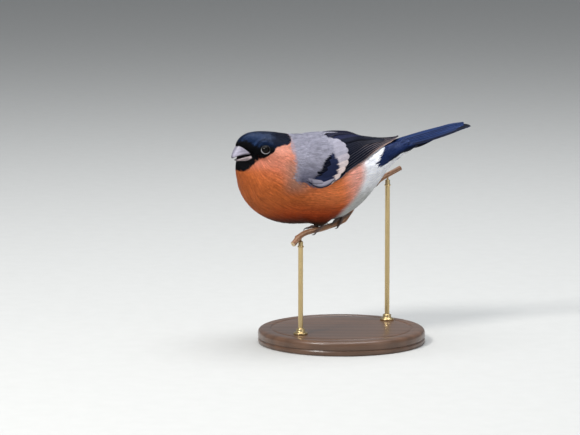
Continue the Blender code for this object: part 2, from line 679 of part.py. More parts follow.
def main():
    """Build every part of the bird, its perch and its stand."""
    for obj in list(bpy.data.objects):
        bpy.data.objects.remove(obj, do_unlink=True)
    model = bpy.data.collections.new("bullfinch")
    bpy.context.scene.collection.children.link(model)

    bird = bpy.data.objects.new("bird", None)
    model.objects.link(bird)
    bird.location = (BIRD_SHIFT_X * MM, 0.0, BELLY_HEIGHT * MM)
    bird.rotation_euler = (0.0, 0.0, BODY_YAW)

    cut = GAP / spine_length()
    rose = make_material("rose_plumage", (0.62, 0.20, 0.10), 0.8)
    black = make_material("cap_plumage", (0.012, 0.014, 0.025), 0.4)
    glossy = make_material("flight_feathers", (0.015, 0.017, 0.035), 0.35)
    horn = make_material("bill_horn", (0.10, 0.10, 0.115), 0.35)
    eye = make_material("eye", (0.012, 0.007, 0.005), 0.06)
    skin = make_material("leg_skin", (0.075, 0.045, 0.035), 0.55)
    bark = make_material("bark", (0.22, 0.13, 0.09), 0.75)
    wood = make_material("base_wood", (0.10, 0.055, 0.03), 0.4)
    metal = make_material("rod_metal", (0.55, 0.42, 0.22), 0.3, 1.0)

    upper = bill_mesh(UPPER_EDGE, UPPER_RIDGE, UPPER_HALF_WIDTH, 10)
    lower = bill_mesh(LOWER_EDGE, LOWER_KEEL, LOWER_HALF_WIDTH, 8)
    sockets = [bill_mesh(UPPER_EDGE, UPPER_RIDGE, UPPER_HALF_WIDTH, 10, GAP),
               bill_mesh(LOWER_EDGE, LOWER_KEEL, LOWER_HALF_WIDTH, 8, GAP)]
    for side, name in ((-1.0, "left"), (1.0, "right")):
        centre = eye_centre(side)
        add_object("eye_" + name, ball_mesh(centre, (EYE_RADIUS,) * 3), eye, bird, model)
        sockets.append(ball_mesh(centre, (EYE_RADIUS + GAP,) * 3))
    body = body_mesh()
    head = sliced(body, HEAD_CUT, -1)
    neck = sliced(sliced(body, HEAD_CUT, 1, GAP), NECK_CUT, -1)
    trunk = sliced(body, NECK_CUT, 1, GAP)
    add_object("head", combine(head, sockets, "DIFFERENCE"), black, bird, model)
    add_object("bill_upper", upper, horn, bird, model)
    add_object("bill_lower", lower, horn, bird, model)
    add_object("neck", neck, rose, bird, model)

    perch_clearance = moved_to_bird(perch_mesh(GAP))
    trunk_clearance = [perch_clearance]
    for name, (share, side) in FEET.items():
        pieces = foot_pieces(share, side)
        add_object("foot_" + name, combine(pieces[0], pieces[1:], "UNION"), skin, None, model)
        clearance = [moved_to_bird(mesh) for mesh in foot_pieces(share, side, GAP)]
        clearance.append(perch_clearance)
        pad, _ = foot_pad(share)
        back, outward, rise = THIGH_PLACE
        hip = to_bird(pad) + np.array([back, outward * side, rise])
        thigh = ball_mesh(hip, THIGH_RADII, 16, 10)
        tarsus = tube_mesh([hip, to_bird(pad)], [TARSUS_RADIUS] * 2, 2)
        leg = combine(thigh, [tarsus], "UNION")
        add_object("leg_" + name, combine(leg, clearance, "DIFFERENCE"), rose, bird, model)
        trunk_clearance += clearance[:-1]
        trunk_clearance.append(ball_mesh(hip, np.array(THIGH_RADII) + GAP, 16, 10))
    add_object("trunk", combine(trunk, trunk_clearance, "DIFFERENCE"), rose, bird, model)
    add_object("wing_left", wing_mesh(-1.0), glossy, bird, model)
    add_object("wing_right", wing_mesh(1.0), glossy, bird, model)
    add_object("tail", tail_mesh(cut), glossy, bird, model)

    pin_holes = [pin_hole_mesh(share) for share in ROD_PLACES.values()]
    add_object("perch", combine(perch_mesh(), pin_holes, "DIFFERENCE"), bark, None, model)
    for name, share in ROD_PLACES.items():
        add_object("stand_rod_" + name, rod_mesh(share), metal, None, model)
    add_base(wood, model)
    bpy.context.view_layer.update()


if __name__ == "__main__":
    main()
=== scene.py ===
"""Still, life-size model of a perched male bullfinch on a cut stem over a plain stand.

The bird is laid out in its own frame in millimetres: +X runs from bill to tail, +Y to the
bird's right side and +Z up, with Z = 0 at the lowest belly feather.  A place on the body is
given by a station (the face runs from -1 to 0, the spine from 0 to 1) and a turn in degrees
round the spine, 0 on the back and negative on the left side.  Finished pieces are in metres
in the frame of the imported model.
"""

import logging
import math
from dataclasses import dataclass, field
from enum import Enum
from typing import Callable, Sequence

import bpy
import numpy as np
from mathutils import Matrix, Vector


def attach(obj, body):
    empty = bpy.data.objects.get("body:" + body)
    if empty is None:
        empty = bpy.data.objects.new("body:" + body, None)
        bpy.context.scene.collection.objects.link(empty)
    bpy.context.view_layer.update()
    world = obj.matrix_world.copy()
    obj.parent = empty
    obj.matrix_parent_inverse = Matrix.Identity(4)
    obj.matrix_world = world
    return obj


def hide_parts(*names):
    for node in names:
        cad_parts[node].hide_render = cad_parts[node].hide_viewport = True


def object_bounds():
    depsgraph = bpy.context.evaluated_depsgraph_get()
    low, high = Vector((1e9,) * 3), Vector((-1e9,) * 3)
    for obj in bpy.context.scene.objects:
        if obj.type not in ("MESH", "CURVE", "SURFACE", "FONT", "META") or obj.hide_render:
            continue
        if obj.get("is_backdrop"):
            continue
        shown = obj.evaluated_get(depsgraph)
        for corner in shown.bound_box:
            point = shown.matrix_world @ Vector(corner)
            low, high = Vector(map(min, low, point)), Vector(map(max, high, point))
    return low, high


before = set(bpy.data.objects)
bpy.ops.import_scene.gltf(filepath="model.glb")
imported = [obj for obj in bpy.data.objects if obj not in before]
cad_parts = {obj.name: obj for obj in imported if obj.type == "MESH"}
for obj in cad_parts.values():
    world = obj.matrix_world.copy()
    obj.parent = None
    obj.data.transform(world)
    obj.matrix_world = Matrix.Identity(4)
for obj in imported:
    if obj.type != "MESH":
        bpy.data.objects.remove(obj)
CAD_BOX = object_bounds()

MM = 0.001
BODY = "root"
BAKE_MAP = "OFBake"
BAKE_PATCH = 0.003
VANE_MAP = "vane"
TINT = "tint"
FINE_RELIEF = 0.0001
NOISE_SUM = (0.55, 1.45)        # span of two noises added up

log = logging.getLogger("bullfinch")

Array = np.ndarray
Material = bpy.types.Material
Node = bpy.types.Node
Span = tuple[float, float]
Colour = tuple[float, float, float]
Point = tuple[float, float, float]


def spun(points: Array, angle: float) -> Array:
    """Turn points about the upright axis.

    Args:
        points: Array of points, the last axis being x, y, z.
        angle: Turn in radians, anticlockwise from above.

    Returns:
        The turned points.
    """
    c, s = math.cos(angle), math.sin(angle)
    p = np.asarray(points, float)
    return np.stack([c * p[..., 0] - s * p[..., 1], s * p[..., 0] + c * p[..., 1], p[..., 2]], -1)


def eased(x: Array, low: float, high: float) -> Array:
    """Smooth step from 0 at low to 1 at high."""
    t = np.clip((np.asarray(x, float) - low) / (high - low), 0, 1)
    return t * t * (3 - 2 * t)


def unit(v: Array) -> Array:
    """Vectors scaled to length one."""
    return v / np.maximum(np.linalg.norm(v, axis=-1, keepdims=True), 1e-9)


def mixed(a: Array | Colour, b: Array | Colour, share: Array | float) -> Array:
    """Blend from one colour or value to another."""
    return np.asarray(a) * (1 - share) + np.asarray(b) * share


def full_turn(count: int) -> Array:
    """Even steps of angle round a whole turn."""
    return np.linspace(0, 2 * math.pi, count, endpoint=False)


class SmoothLine:
    """Curve that runs smoothly through values given at rising keys."""

    def __init__(self, keys: Sequence[float], values: Sequence) -> None:
        """Keep the keys and values, and work out the slopes between them.

        Args:
            keys: Rising positions.
            values: One number or one row of numbers for each key.
        """
        self.keys = np.asarray(keys, float)
        self.values = np.asarray(values, float)
        self.slopes = np.gradient(self.values, self.keys, axis=0)

    @classmethod
    def through(cls, table: Sequence) -> "SmoothLine":
        """Curve through rows that hold a key and its value or values."""
        rows = np.array(table)
        return cls(rows[:, 0], rows[:, 1] if rows.shape[1] == 2 else rows[:, 1:])

    @classmethod
    def evenly(cls, values: Sequence) -> "SmoothLine":
        """Curve through values at even steps from 0 to 1."""
        return cls(np.linspace(0, 1, len(values)), values)

    def __call__(self, x: Array) -> Array:
        """Value or row of values at each x, held at both ends.

        Args:
            x: Keys to read at.

        Returns:
            Array of values, or of rows of values.
        """
        x = np.clip(np.asarray(x, float), self.keys[0], self.keys[-1])
        i = np.clip(np.searchsorted(self.keys, x, side="right") - 1, 0, len(self.keys) - 2)
        span = self.keys[i + 1] - self.keys[i]
        t = (x - self.keys[i]) / span
        if self.values.ndim > 1:
            span, t = span[..., None], t[..., None]
        rest = 1 - t
        return (self.values[i] * (1 + 2 * t) * rest ** 2
                + self.slopes[i] * span * t * rest ** 2
                + self.values[i + 1] * t ** 2 * (3 - 2 * t)
                - self.slopes[i + 1] * span * t ** 2 * rest)


def inside(x: Array, z: Array, outline: Sequence[tuple[float, float]]) -> Array:
    """Tell which points lie inside a closed outline.

    Args:
        x: First coordinates.
        z: Second coordinates.
        outline: Corners of the outline in order.

    Returns:
        Array of truth values.
    """
    result = np.zeros(np.shape(x), bool)
    corners = list(outline)
    for (x0, z0), (x1, z1) in zip(corners, corners[1:] + corners[:1]):
        if z0 == z1:
            continue
        crosses = (z > min(z0, z1)) & (z <= max(z0, z1))
        result ^= crosses & (x < x0 + (z - z0) * (x1 - x0) / (z1 - z0))
    return result


def outward(points: Array, faces: Sequence[Array]) -> list[Array]:
    """Faces of one closed shape, turned over if they look inwards.

    Args:
        points: The shape's points.
        faces: Arrays of faces, each with one row of point indices for a face.

    Returns:
        The faces, all looking outwards.
    """
    centre = points.mean(axis=0)
    volume = 0
    for rows in faces:
        p = points[np.asarray(rows)] - centre
        for k in range(1, p.shape[1] - 1):
            volume += float((p[:, 0] * np.cross(p[:, k], p[:, k + 1])).sum())
    return [np.asarray(rows) if volume >= 0 else np.asarray(rows)[:, ::-1] for rows in faces]


class MeshBatch:
    """Collects points, faces, tints and map places, and turns them into one piece."""

    def __init__(self) -> None:
        """Start empty."""
        self.points: list[Array] = []
        self.faces: list[list[int]] = []
        self.tints: list[Array] = []
        self.maps: dict[str, list[Array]] = {}
        self.finishes: list[int] = []
        self.normals: list[Array] = []
        self.count = 0

    def add(self, points: Array, faces: Sequence[Array], tint: Array | Colour,
            maps: dict[str, Array] | None = None, finish: int = 0, normals: Array | None = None) -> None:
        """Add one or many shapes.

        Args:
            points: Points in the bird frame or in the world, the last axis being x, y, z.
            faces: Arrays of faces, each with one row of point indices for a face.
            tint: One colour, or one for each point.
            maps: Map places for each point, by the map's name.
            finish: Which of the piece's finishes these faces have.
            normals: Shading normal of each point, or None for the faces' own.
        """
        flat = points.reshape(-1, 3)
        if normals is None:
            faces = outward(flat, faces)
        else:
            self.normals.append(normals.reshape(-1, 3))
        self.points.append(flat)
        self.tints.append(np.broadcast_to(np.asarray(tint, float).reshape(-1, 3), flat.shape))
        for rows in faces:
            listed = (np.asarray(rows) + self.count).tolist()
            self.faces += listed
            self.finishes += [finish] * len(listed)
        for name, places in (maps or {}).items():
            self.maps.setdefault(name, []).append(places.reshape(-1, 2))
        self.count += len(flat)

    def cap(self, ring: Array, tint: Colour) -> None:
        """Close a ring of points with a fan of triangles to its middle.

        Args:
            ring: Points of the ring in order.
            tint: The fan's colour.
        """
        k, size = np.arange(len(ring)), len(ring)
        self.add(np.concatenate([ring, ring.mean(axis=0)[None]]),
                 [np.stack([k, (k + 1) % size, np.full(size, size)], 1)], tint)

    def build(self, name: str, finishes: Sequence[Material], pose: "Pose | None", slot: str,
              *replaced: str) -> bpy.types.Object:
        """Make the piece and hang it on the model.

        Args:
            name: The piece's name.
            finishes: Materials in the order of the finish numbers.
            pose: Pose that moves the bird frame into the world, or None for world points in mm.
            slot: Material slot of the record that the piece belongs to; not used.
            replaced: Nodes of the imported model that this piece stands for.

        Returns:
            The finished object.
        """
        points = np.concatenate(self.points)
        world = points * MM if pose is None else pose.to_world(points)
        mesh = bpy.data.meshes.new(name)
        mesh.from_pydata(world.tolist(), [], self.faces)
        mesh.update()
        corners = np.empty(len(mesh.loops), dtype=np.int64)
        mesh.loops.foreach_get("vertex_index", corners)
        for map_name, parts in self.maps.items():
            layer = mesh.uv_layers.new(name=map_name)
            layer.data.foreach_set("uv", np.concatenate(parts)[corners].astype(np.float32).ravel())
        tints = np.concatenate(self.tints)
        rgba = np.concatenate([tints, np.ones((len(tints), 1))], axis=1).astype(np.float32)
        layer = mesh.color_attributes.new(TINT, "FLOAT_COLOR", "POINT")
        layer.data.foreach_set("color", rgba.ravel())
        for material in finishes:
            mesh.materials.append(material)
        if len(finishes) > 1:
            mesh.polygons.foreach_set("material_index", np.array(self.finishes, dtype=np.int32))
        mesh.shade_smooth()
        if self.normals:
            turned = spun(np.concatenate(self.normals), pose.body_yaw if pose else 0)
            mesh.normals_split_custom_set_from_vertices(turned.tolist())
        obj = bpy.data.objects.new(name, mesh)
        bpy.context.scene.collection.objects.link(obj)
        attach(obj, BODY)
        if replaced:
            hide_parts(*replaced)
        log.info("%s: %d faces", name, len(mesh.polygons))
        return obj


def grid_faces(rows: int, columns: int, closed: bool = True, looped: bool = False) -> Array:
    """Faces of a grid of points, whose columns and rows may close into rings.

    Args:
        rows: Number of rows of points.
        columns: Number of points in a row.
        closed: Whether the last column joins the first.
        looped: Whether the last row joins the first.

    Returns:
        One row of four point indices for each face.
    """
    r, c = np.meshgrid(np.arange(rows if looped else rows - 1),
                       np.arange(columns if closed else columns - 1), indexing="ij")
    r, c = r.ravel(), c.ravel()
    here, after, beside = r * columns, (r + 1) % rows * columns, (c + 1) % columns
    return np.stack([here + c, here + beside, after + beside, after + c], 1)


# --- form ---

@dataclass(frozen=True)
class Pose:
    """Where the bird stands over its base, and how far its body and head are turned."""

    belly_height: float = 74.0
    shift_x: float = -10.3
    body_yaw: float = math.radians(15)
    head_yaw: float = math.radians(7)
    neck: Point = (-38, 0, 46)

    def to_world(self, points: Array) -> Array:
        """Bird frame in millimetres to the model's frame in metres."""
        return (spun(points, self.body_yaw) + (self.shift_x, 0, self.belly_height)) * MM

    def to_head(self, points: Array) -> Array:
        """Bird frame to the head's own frame."""
        return spun(np.asarray(points, float) - self.neck, -self.head_yaw) + self.neck

    def from_head(self, points: Array) -> Array:
        """Head's own frame to the bird frame."""
        return spun(np.asarray(points, float) - self.neck, self.head_yaw) + self.neck


@dataclass(frozen=True)
class TailForm:
    """Closed tail: where it ends, how wide, arched and thick it is, and its notch."""

    tip: Point = (88.6, 0, 60.7)
    roll: float = math.radians(-9)
    covert_share: float = 0.34
    half_width: Point = (8.8, 9.6, 11.6)
    arch: Point = (4.4, 4, 2.4)
    thickness: Point = (4.2, 2.2, 0.8)
    notch: float = 0.6
    notch_share: float = 0.6
    root: Point = (48.7, 0, 47.1)

    def axes(self) -> tuple[Array, Array, Array, float]:
        """Direction along the tail, to its right and up, and its length.

        Returns:
            Three unit directions and a length in millimetres.
        """
        span = np.subtract(self.tip, self.root)
        length = float(np.linalg.norm(span))
        along = span / length
        side = np.array([0, math.cos(self.roll), math.sin(self.roll)])
        return along, side, np.cross(along, side), length

    def place(self, share: Array, across: Array, level: Array) -> Array:
        """Point of the tail.

        Args:
            share: Part of the tail's length, 0 at its root.
            across: Part of the half width, positive to the right.
            level: Part of the half thickness, 1 on the upper face and -1 below.

        Returns:
            Points in the bird frame.
        """
        along, side, up, length = self.axes()
        width, arch, thickness = (SmoothLine.evenly(values)(share)
                                  for values in (self.half_width, self.arch, self.thickness))
        height = arch * (0.5 - across ** 2) + 0.5 * thickness * level
        run = length * share + self.notch * share * (np.abs(across) - self.notch_share)
        return (np.array(self.root) + run[..., None] * along + (width * across)[..., None] * side
                + height[..., None] * up)


@dataclass(frozen=True)
class BodyForm:
    """Outline of the bird out to its feather tips, measured by rays from a line inside it."""

    pose: Pose = Pose()
    tail: TailForm = TailForm()
    breast_centre: Point = (-20, 0, 32)
    breast_half: tuple[float, float] = (36, 26)      # forward, sideways
    breast_rise: float = 25.0
    breast_drop: float = 31.0
    # station along the body: height of back, height of belly, half width, height of widest part
    stations: tuple = ((-20, 57, 1, 26, 32), (-5, 56.6, 1.3, 26, 29.5),
                       (8, 55.9, 4.4, 24.2, 30), (20, 54, 10.4, 20.8, 33),
                       (30, 52.2, 20.6, 16.6, 37), (39, 51.2, 32.4, 12.6, 42),
                       (48, 51.2, 40.2, 9.3, 46), (58, 53, 46.2, 7.4, 49.8))
    # rounded masses of the head in its own frame: centre and half sizes
    skull: tuple[Point, Point] = ((-36.5, 0, 46.8), (15.5, 12.6, 11.9))
    face: tuple[Point, Point] = ((-47, 0, 48.4), (11.2, 6.8, 10.4))
    throat: tuple[Point, Point] = ((-46.5, 0, 37.5), (9.3, 8, 8.5))
    cheek: tuple[Point, Point] = ((-36, 7.5, 41.5), (11, 6.6, 8.5))
    blend: float = 4.5
    thigh_half: Point = (6.4, 4.8, 6)
    hips: tuple[Point, Point] = ((-6.83, -12.46, 6.98), (7.95, 2.27, 9.57))
    spine: tuple = ((-42, 47.5), (-34, 39.5), (-20, 32), (0, 29), (20, 33.5),
                    (38, 41.5), (52, 47.5))
    front_pole: Point = (-0.976, 0, -0.22)
    # side view of the bill where the feathers stop, in the head's frame
    gape: tuple = ((-61.5, 51.4), (-57.6, 51.2), (-56.4, 51.3), (-55.5, 50.8), (-54.1, 49.6), (-52.6, 48.1),
                   (-51.3, 46.8), (-48.9, 45.5), (-48.9, 43), (-50.4, 41.3), (-53.4, 40.5), (-57, 41),
                   (-61.5, 42))
    bill_width: tuple = ((-60, 0.9), (-58.8, 1.7), (-57, 2.8), (-54, 3.8), (-50.5, 4.3), (-46.8, 4.5))
    # how the face narrows to the bill: slope outwards, tuck inside the gape, gap to the horn, least
    # half width and how softly it begins
    press_slope: float = 1.15
    press_tuck: float = 0.45
    press_gap: float = 0.12
    least_width: float = 0.2
    press_soft: float = 1.2
    trunk_end: float = 0.96
    reach: float = 46.0
    first_step: float = 1.25            # the rays are first tried in these steps, then by halving
    halvings: int = 14
    face_rows: int = 34
    body_rows: int = 104
    tail_rows: int = 6
    tail_reach: float = 0.20
    columns: int = 180

    def _merge(self, first: Array, second: Array) -> Array:
        """Smooth union of two distances."""
        h = np.clip(0.5 + 0.5 * (second - first) / self.blend, 0, 1)
        return second + (first - second) * h - self.blend * h * (1 - h)

    @staticmethod
    def _egg(p: Array, centre: Point, half: Point) -> Array:
        """Distance from an ellipsoid, near enough close to its surface."""
        return (np.sqrt((((p - centre) / half) ** 2).sum(axis=-1)) - 1) * min(half)

    def distance(self, p: Array) -> Array:
        """Distance of points of the bird frame from the plumage's outline, negative inside.

        Args:
            p: Points in the bird frame.

        Returns:
            Distances in millimetres.
        """
        x, y, z = p[..., 0], p[..., 1], p[..., 2]
        back, belly, half, waist = np.moveaxis(SmoothLine.through(self.stations)(x), -1, 0)
        height = np.where(z > waist, back - waist, waist - belly)
        rear = np.sqrt((y / half) ** 2 + ((z - waist) / height) ** 2)
        dz = z - self.breast_centre[2]
        rise = np.where(dz > 0, self.breast_rise, self.breast_drop)
        front = np.sqrt(((x - self.breast_centre[0]) / self.breast_half[0]) ** 2
                        + (y / self.breast_half[1]) ** 2 + (dz / rise) ** 2)
        trunk = (np.where(x < self.breast_centre[0], front, rear) - 1) * np.minimum(half, height)
        h = self.pose.to_head(p)
        mirrored = np.stack([h[..., 0], np.abs(h[..., 1]), h[..., 2]], -1)
        head = self._egg(h, *self.skull)
        for place, mass in ((h, self.face), (mirrored, self.cheek), (h, self.throat)):
            head = self._merge(head, self._egg(place, *mass))
        body = self._merge(trunk, head)
        for hip in self.hips:
            body = self._merge(body, self._egg(p, hip, self.thigh_half))
        return body

    def radius(self, origins: Array, directions: Array) -> Array:
        """Length of each ray from inside the body to the plumage's outline.

        Args:
            origins: Start of each ray, inside the body.
            directions: Unit direction of each ray.

        Returns:
            Lengths in millimetres.
        """
        step = self.first_step
        far = np.full(len(origins), self.reach)
        for k in range(1, int(self.reach / step)):
            open_still = far == self.reach
            outside = self.distance(origins + directions * (k * step)) > 0
            far = np.where(open_still & outside, k * step, far)
        near = far - step
        for _ in range(self.halvings):
            middle = 0.5 * (near + far)
            outside = self.distance(origins + directions * middle[:, None]) > 0
            far = np.where(outside, middle, far)
            near = np.where(outside, near, middle)
        return far

    def frame_at(self, t: float) -> tuple[Array, Array]:
        """Point of the spine and its upward normal.

        Args:
            t: Station from 0 to 1.

        Returns:
            A point and a unit direction.
        """
        curve = SmoothLine.evenly(self.spine)
        point = curve(t)
        ahead = unit(curve(min(t + 1e-3, 1)) - curve(max(t - 1e-3, 0)))
        return np.array([point[0], 0, point[1]]), np.array([-ahead[1], 0, ahead[0]])

    def rim(self, t: float) -> Array:
        """Directions square to the spine, from the back round by the right side."""
        turn = full_turn(self.columns)[:, None]
        return np.cos(turn) * self.frame_at(t)[1] + np.sin(turn) * (0, 1, 0)

    def tabulate(self) -> "Surface":
        """Measure the whole body once, as a grid of points.

        Returns:
            The body's surface.
        """
        stations, origins, directions = [], [], []
        pole = unit(np.array(self.front_pole))
        rim = self.rim(0)
        angle = np.arccos(np.clip(rim @ pole, -1, 1))[:, None]
        for share in np.linspace(0.03, 1, self.face_rows, endpoint=False):
            stations.append(share - 1)
            origins.append(self.frame_at(0)[0])
            directions.append((np.sin((1 - share) * angle) * pole + np.sin(share * angle) * rim)
                              / np.sin(angle))
        for t in np.linspace(0, self.trunk_end, self.body_rows):
            stations.append(t)
            origins.append(self.frame_at(t)[0])
            directions.append(self.rim(t))
        rays = np.concatenate(directions)
        starts = np.repeat(np.array(origins), self.columns, axis=0)
        reach = self.radius(starts, rays)
        points = (starts + rays * reach[:, None]).reshape(len(stations), self.columns, 3)
        turn = full_turn(self.columns)
        ring = points[-1]
        along, _, _, length = self.tail.axes()
        rows = [points]
        for share in np.linspace(0, self.tail_reach, self.tail_rows + 1)[1:]:
            shares = np.full(self.columns, share)
            blade = self.tail.place(shares, np.sin(turn), np.cos(turn))
            slid = ring + share * length * along
            rows.append((slid + (blade - slid) * eased(share, 0, self.tail.covert_share))[None])
            stations.append(self.trunk_end + share)
        return Surface(np.array(stations), self.pressed(np.concatenate(rows)))

    def pressed(self, points: Array) -> Array:
        """Narrow the face towards the bill, so that its feathers end along the bill's base.

        Args:
            points: Points of the outline in the bird frame.

        Returns:
            The points, moved in towards the middle of the head.
        """
        h = self.pose.to_head(points)
        x, z = h[..., 0], h[..., 2]
        corners = np.array(self.gape)
        away = np.full(x.shape, 1e9)
        for a, b in zip(corners, np.roll(corners, -1, axis=0)):
            span = b - a
            t = np.clip(((x - a[0]) * span[0] + (z - a[1]) * span[1]) / (span @ span), 0, 1)
            away = np.minimum(away, np.hypot(x - a[0] - t * span[0], z - a[1] - t * span[1]))
        away = np.where(inside(x, z, self.gape), -self.press_tuck * np.clip(away, 0, 1), away)
        limit = np.interp(x, *np.array(self.bill_width).T) - self.press_gap + self.press_slope * away
        limit = np.maximum(limit, self.least_width)
        y = np.abs(h[..., 1])
        # rounded, so that no crease shows where the cheek begins
        over = 0.5 * (y - limit + np.sqrt((y - limit) ** 2 + self.press_soft ** 2))
        narrowed = np.where(y < limit - 5 * self.press_soft, y, np.maximum(y - over, 0))
        return self.pose.from_head(np.stack([x, np.sign(h[..., 1]) * narrowed, z], -1))


class Surface:
    """Grid of points over a rounded body, read at any station and turn."""

    def __init__(self, stations: Array, points: Array) -> None:
        """Work out normals and the grid's spacing.

        Args:
            stations: Rising station of each row.
            points: Points by row and column; the columns close into a ring.
        """
        self.stations = stations
        self.points = points
        self.rows, self.columns = points.shape[:2]
        along = np.gradient(points, axis=0)
        around = (np.roll(points, -1, axis=1) - np.roll(points, 1, axis=1)) * 0.5
        normals = unit(np.cross(around, along))
        away = points - points.mean(axis=1, keepdims=True)
        normals *= np.sign((normals * away).sum(axis=-1).mean())
        # smoothed, so that small dents don't disturb the coat
        for _ in range(3):
            normals = normals + np.roll(normals, 1, 1) + np.roll(normals, -1, 1)
            normals[1:-1] = normals[1:-1] + normals[:-2] + normals[2:]
            normals = unit(normals)
        self.normals = normals
        self.row_step = np.linalg.norm(along, axis=-1)
        self.turn_step = np.linalg.norm(around, axis=-1) * self.columns / 360
        lengths = np.concatenate([[0], self.row_step.mean(axis=1)[1:].cumsum()])
        self.row_share = lengths / lengths[-1]

    def row_of(self, station: Array) -> Array:
        """Row number, with its fraction, of a station."""
        return np.interp(station, self.stations, np.arange(self.rows))

    def read(self, grid: Array, row: Array, turn: Array) -> Array:
        """Value of a grid between its points.

        Args:
            grid: Values by row and column.
            row: Row numbers with fractions.
            turn: Turns in degrees.

        Returns:
            One value, or one row of values, for each place.
        """
        row = np.clip(row, 0, self.rows - 1.001)
        column = np.mod(turn / 360 * self.columns, self.columns)
        i, j = np.floor(row).astype(int), np.floor(column).astype(int) % self.columns
        f, g = row - i, column - np.floor(column)
        if grid.ndim == 3:
            f, g = f[..., None], g[..., None]
        k = (j + 1) % self.columns
        return ((grid[i, j] * (1 - g) + grid[i, k] * g) * (1 - f)
                + (grid[i + 1, j] * (1 - g) + grid[i + 1, k] * g) * f)

    def place(self, row: Array, turn: Array, depth: Array) -> Array:
        """Points of the bird frame at a depth under the surface."""
        return self.read(self.points, row, turn) - self.read(self.normals, row, turn) * depth[..., None]

    def map_place(self, row: Array, turn: Array) -> Array:
        """Place on the unwrapped surface.

        Args:
            row: Row numbers with fractions.
            turn: Turns in degrees.

        Returns:
            Map places from 0 to 1.
        """
        share = np.interp(row, np.arange(self.rows), self.row_share)
        across = np.mod(turn / 360 + 0.5, 1)
        return np.stack([0.01 + 0.98 * across, 0.01 + 0.98 * share], -1)

    def raised(self, heights: Array) -> "Surface":
        """The same surface with something of the given heights lying over it."""
        return Surface(self.stations, self.points + self.normals * heights[..., None])


# --- markings ---

class Zone(Enum):
    """Colour fields of a male's contour feathers."""

    CAP = 0
    ROSE = 1
    GREY = 2
    WHITE = 3
    TAIL_COVERTS = 4
    LORES = 5
    NAPE = 6


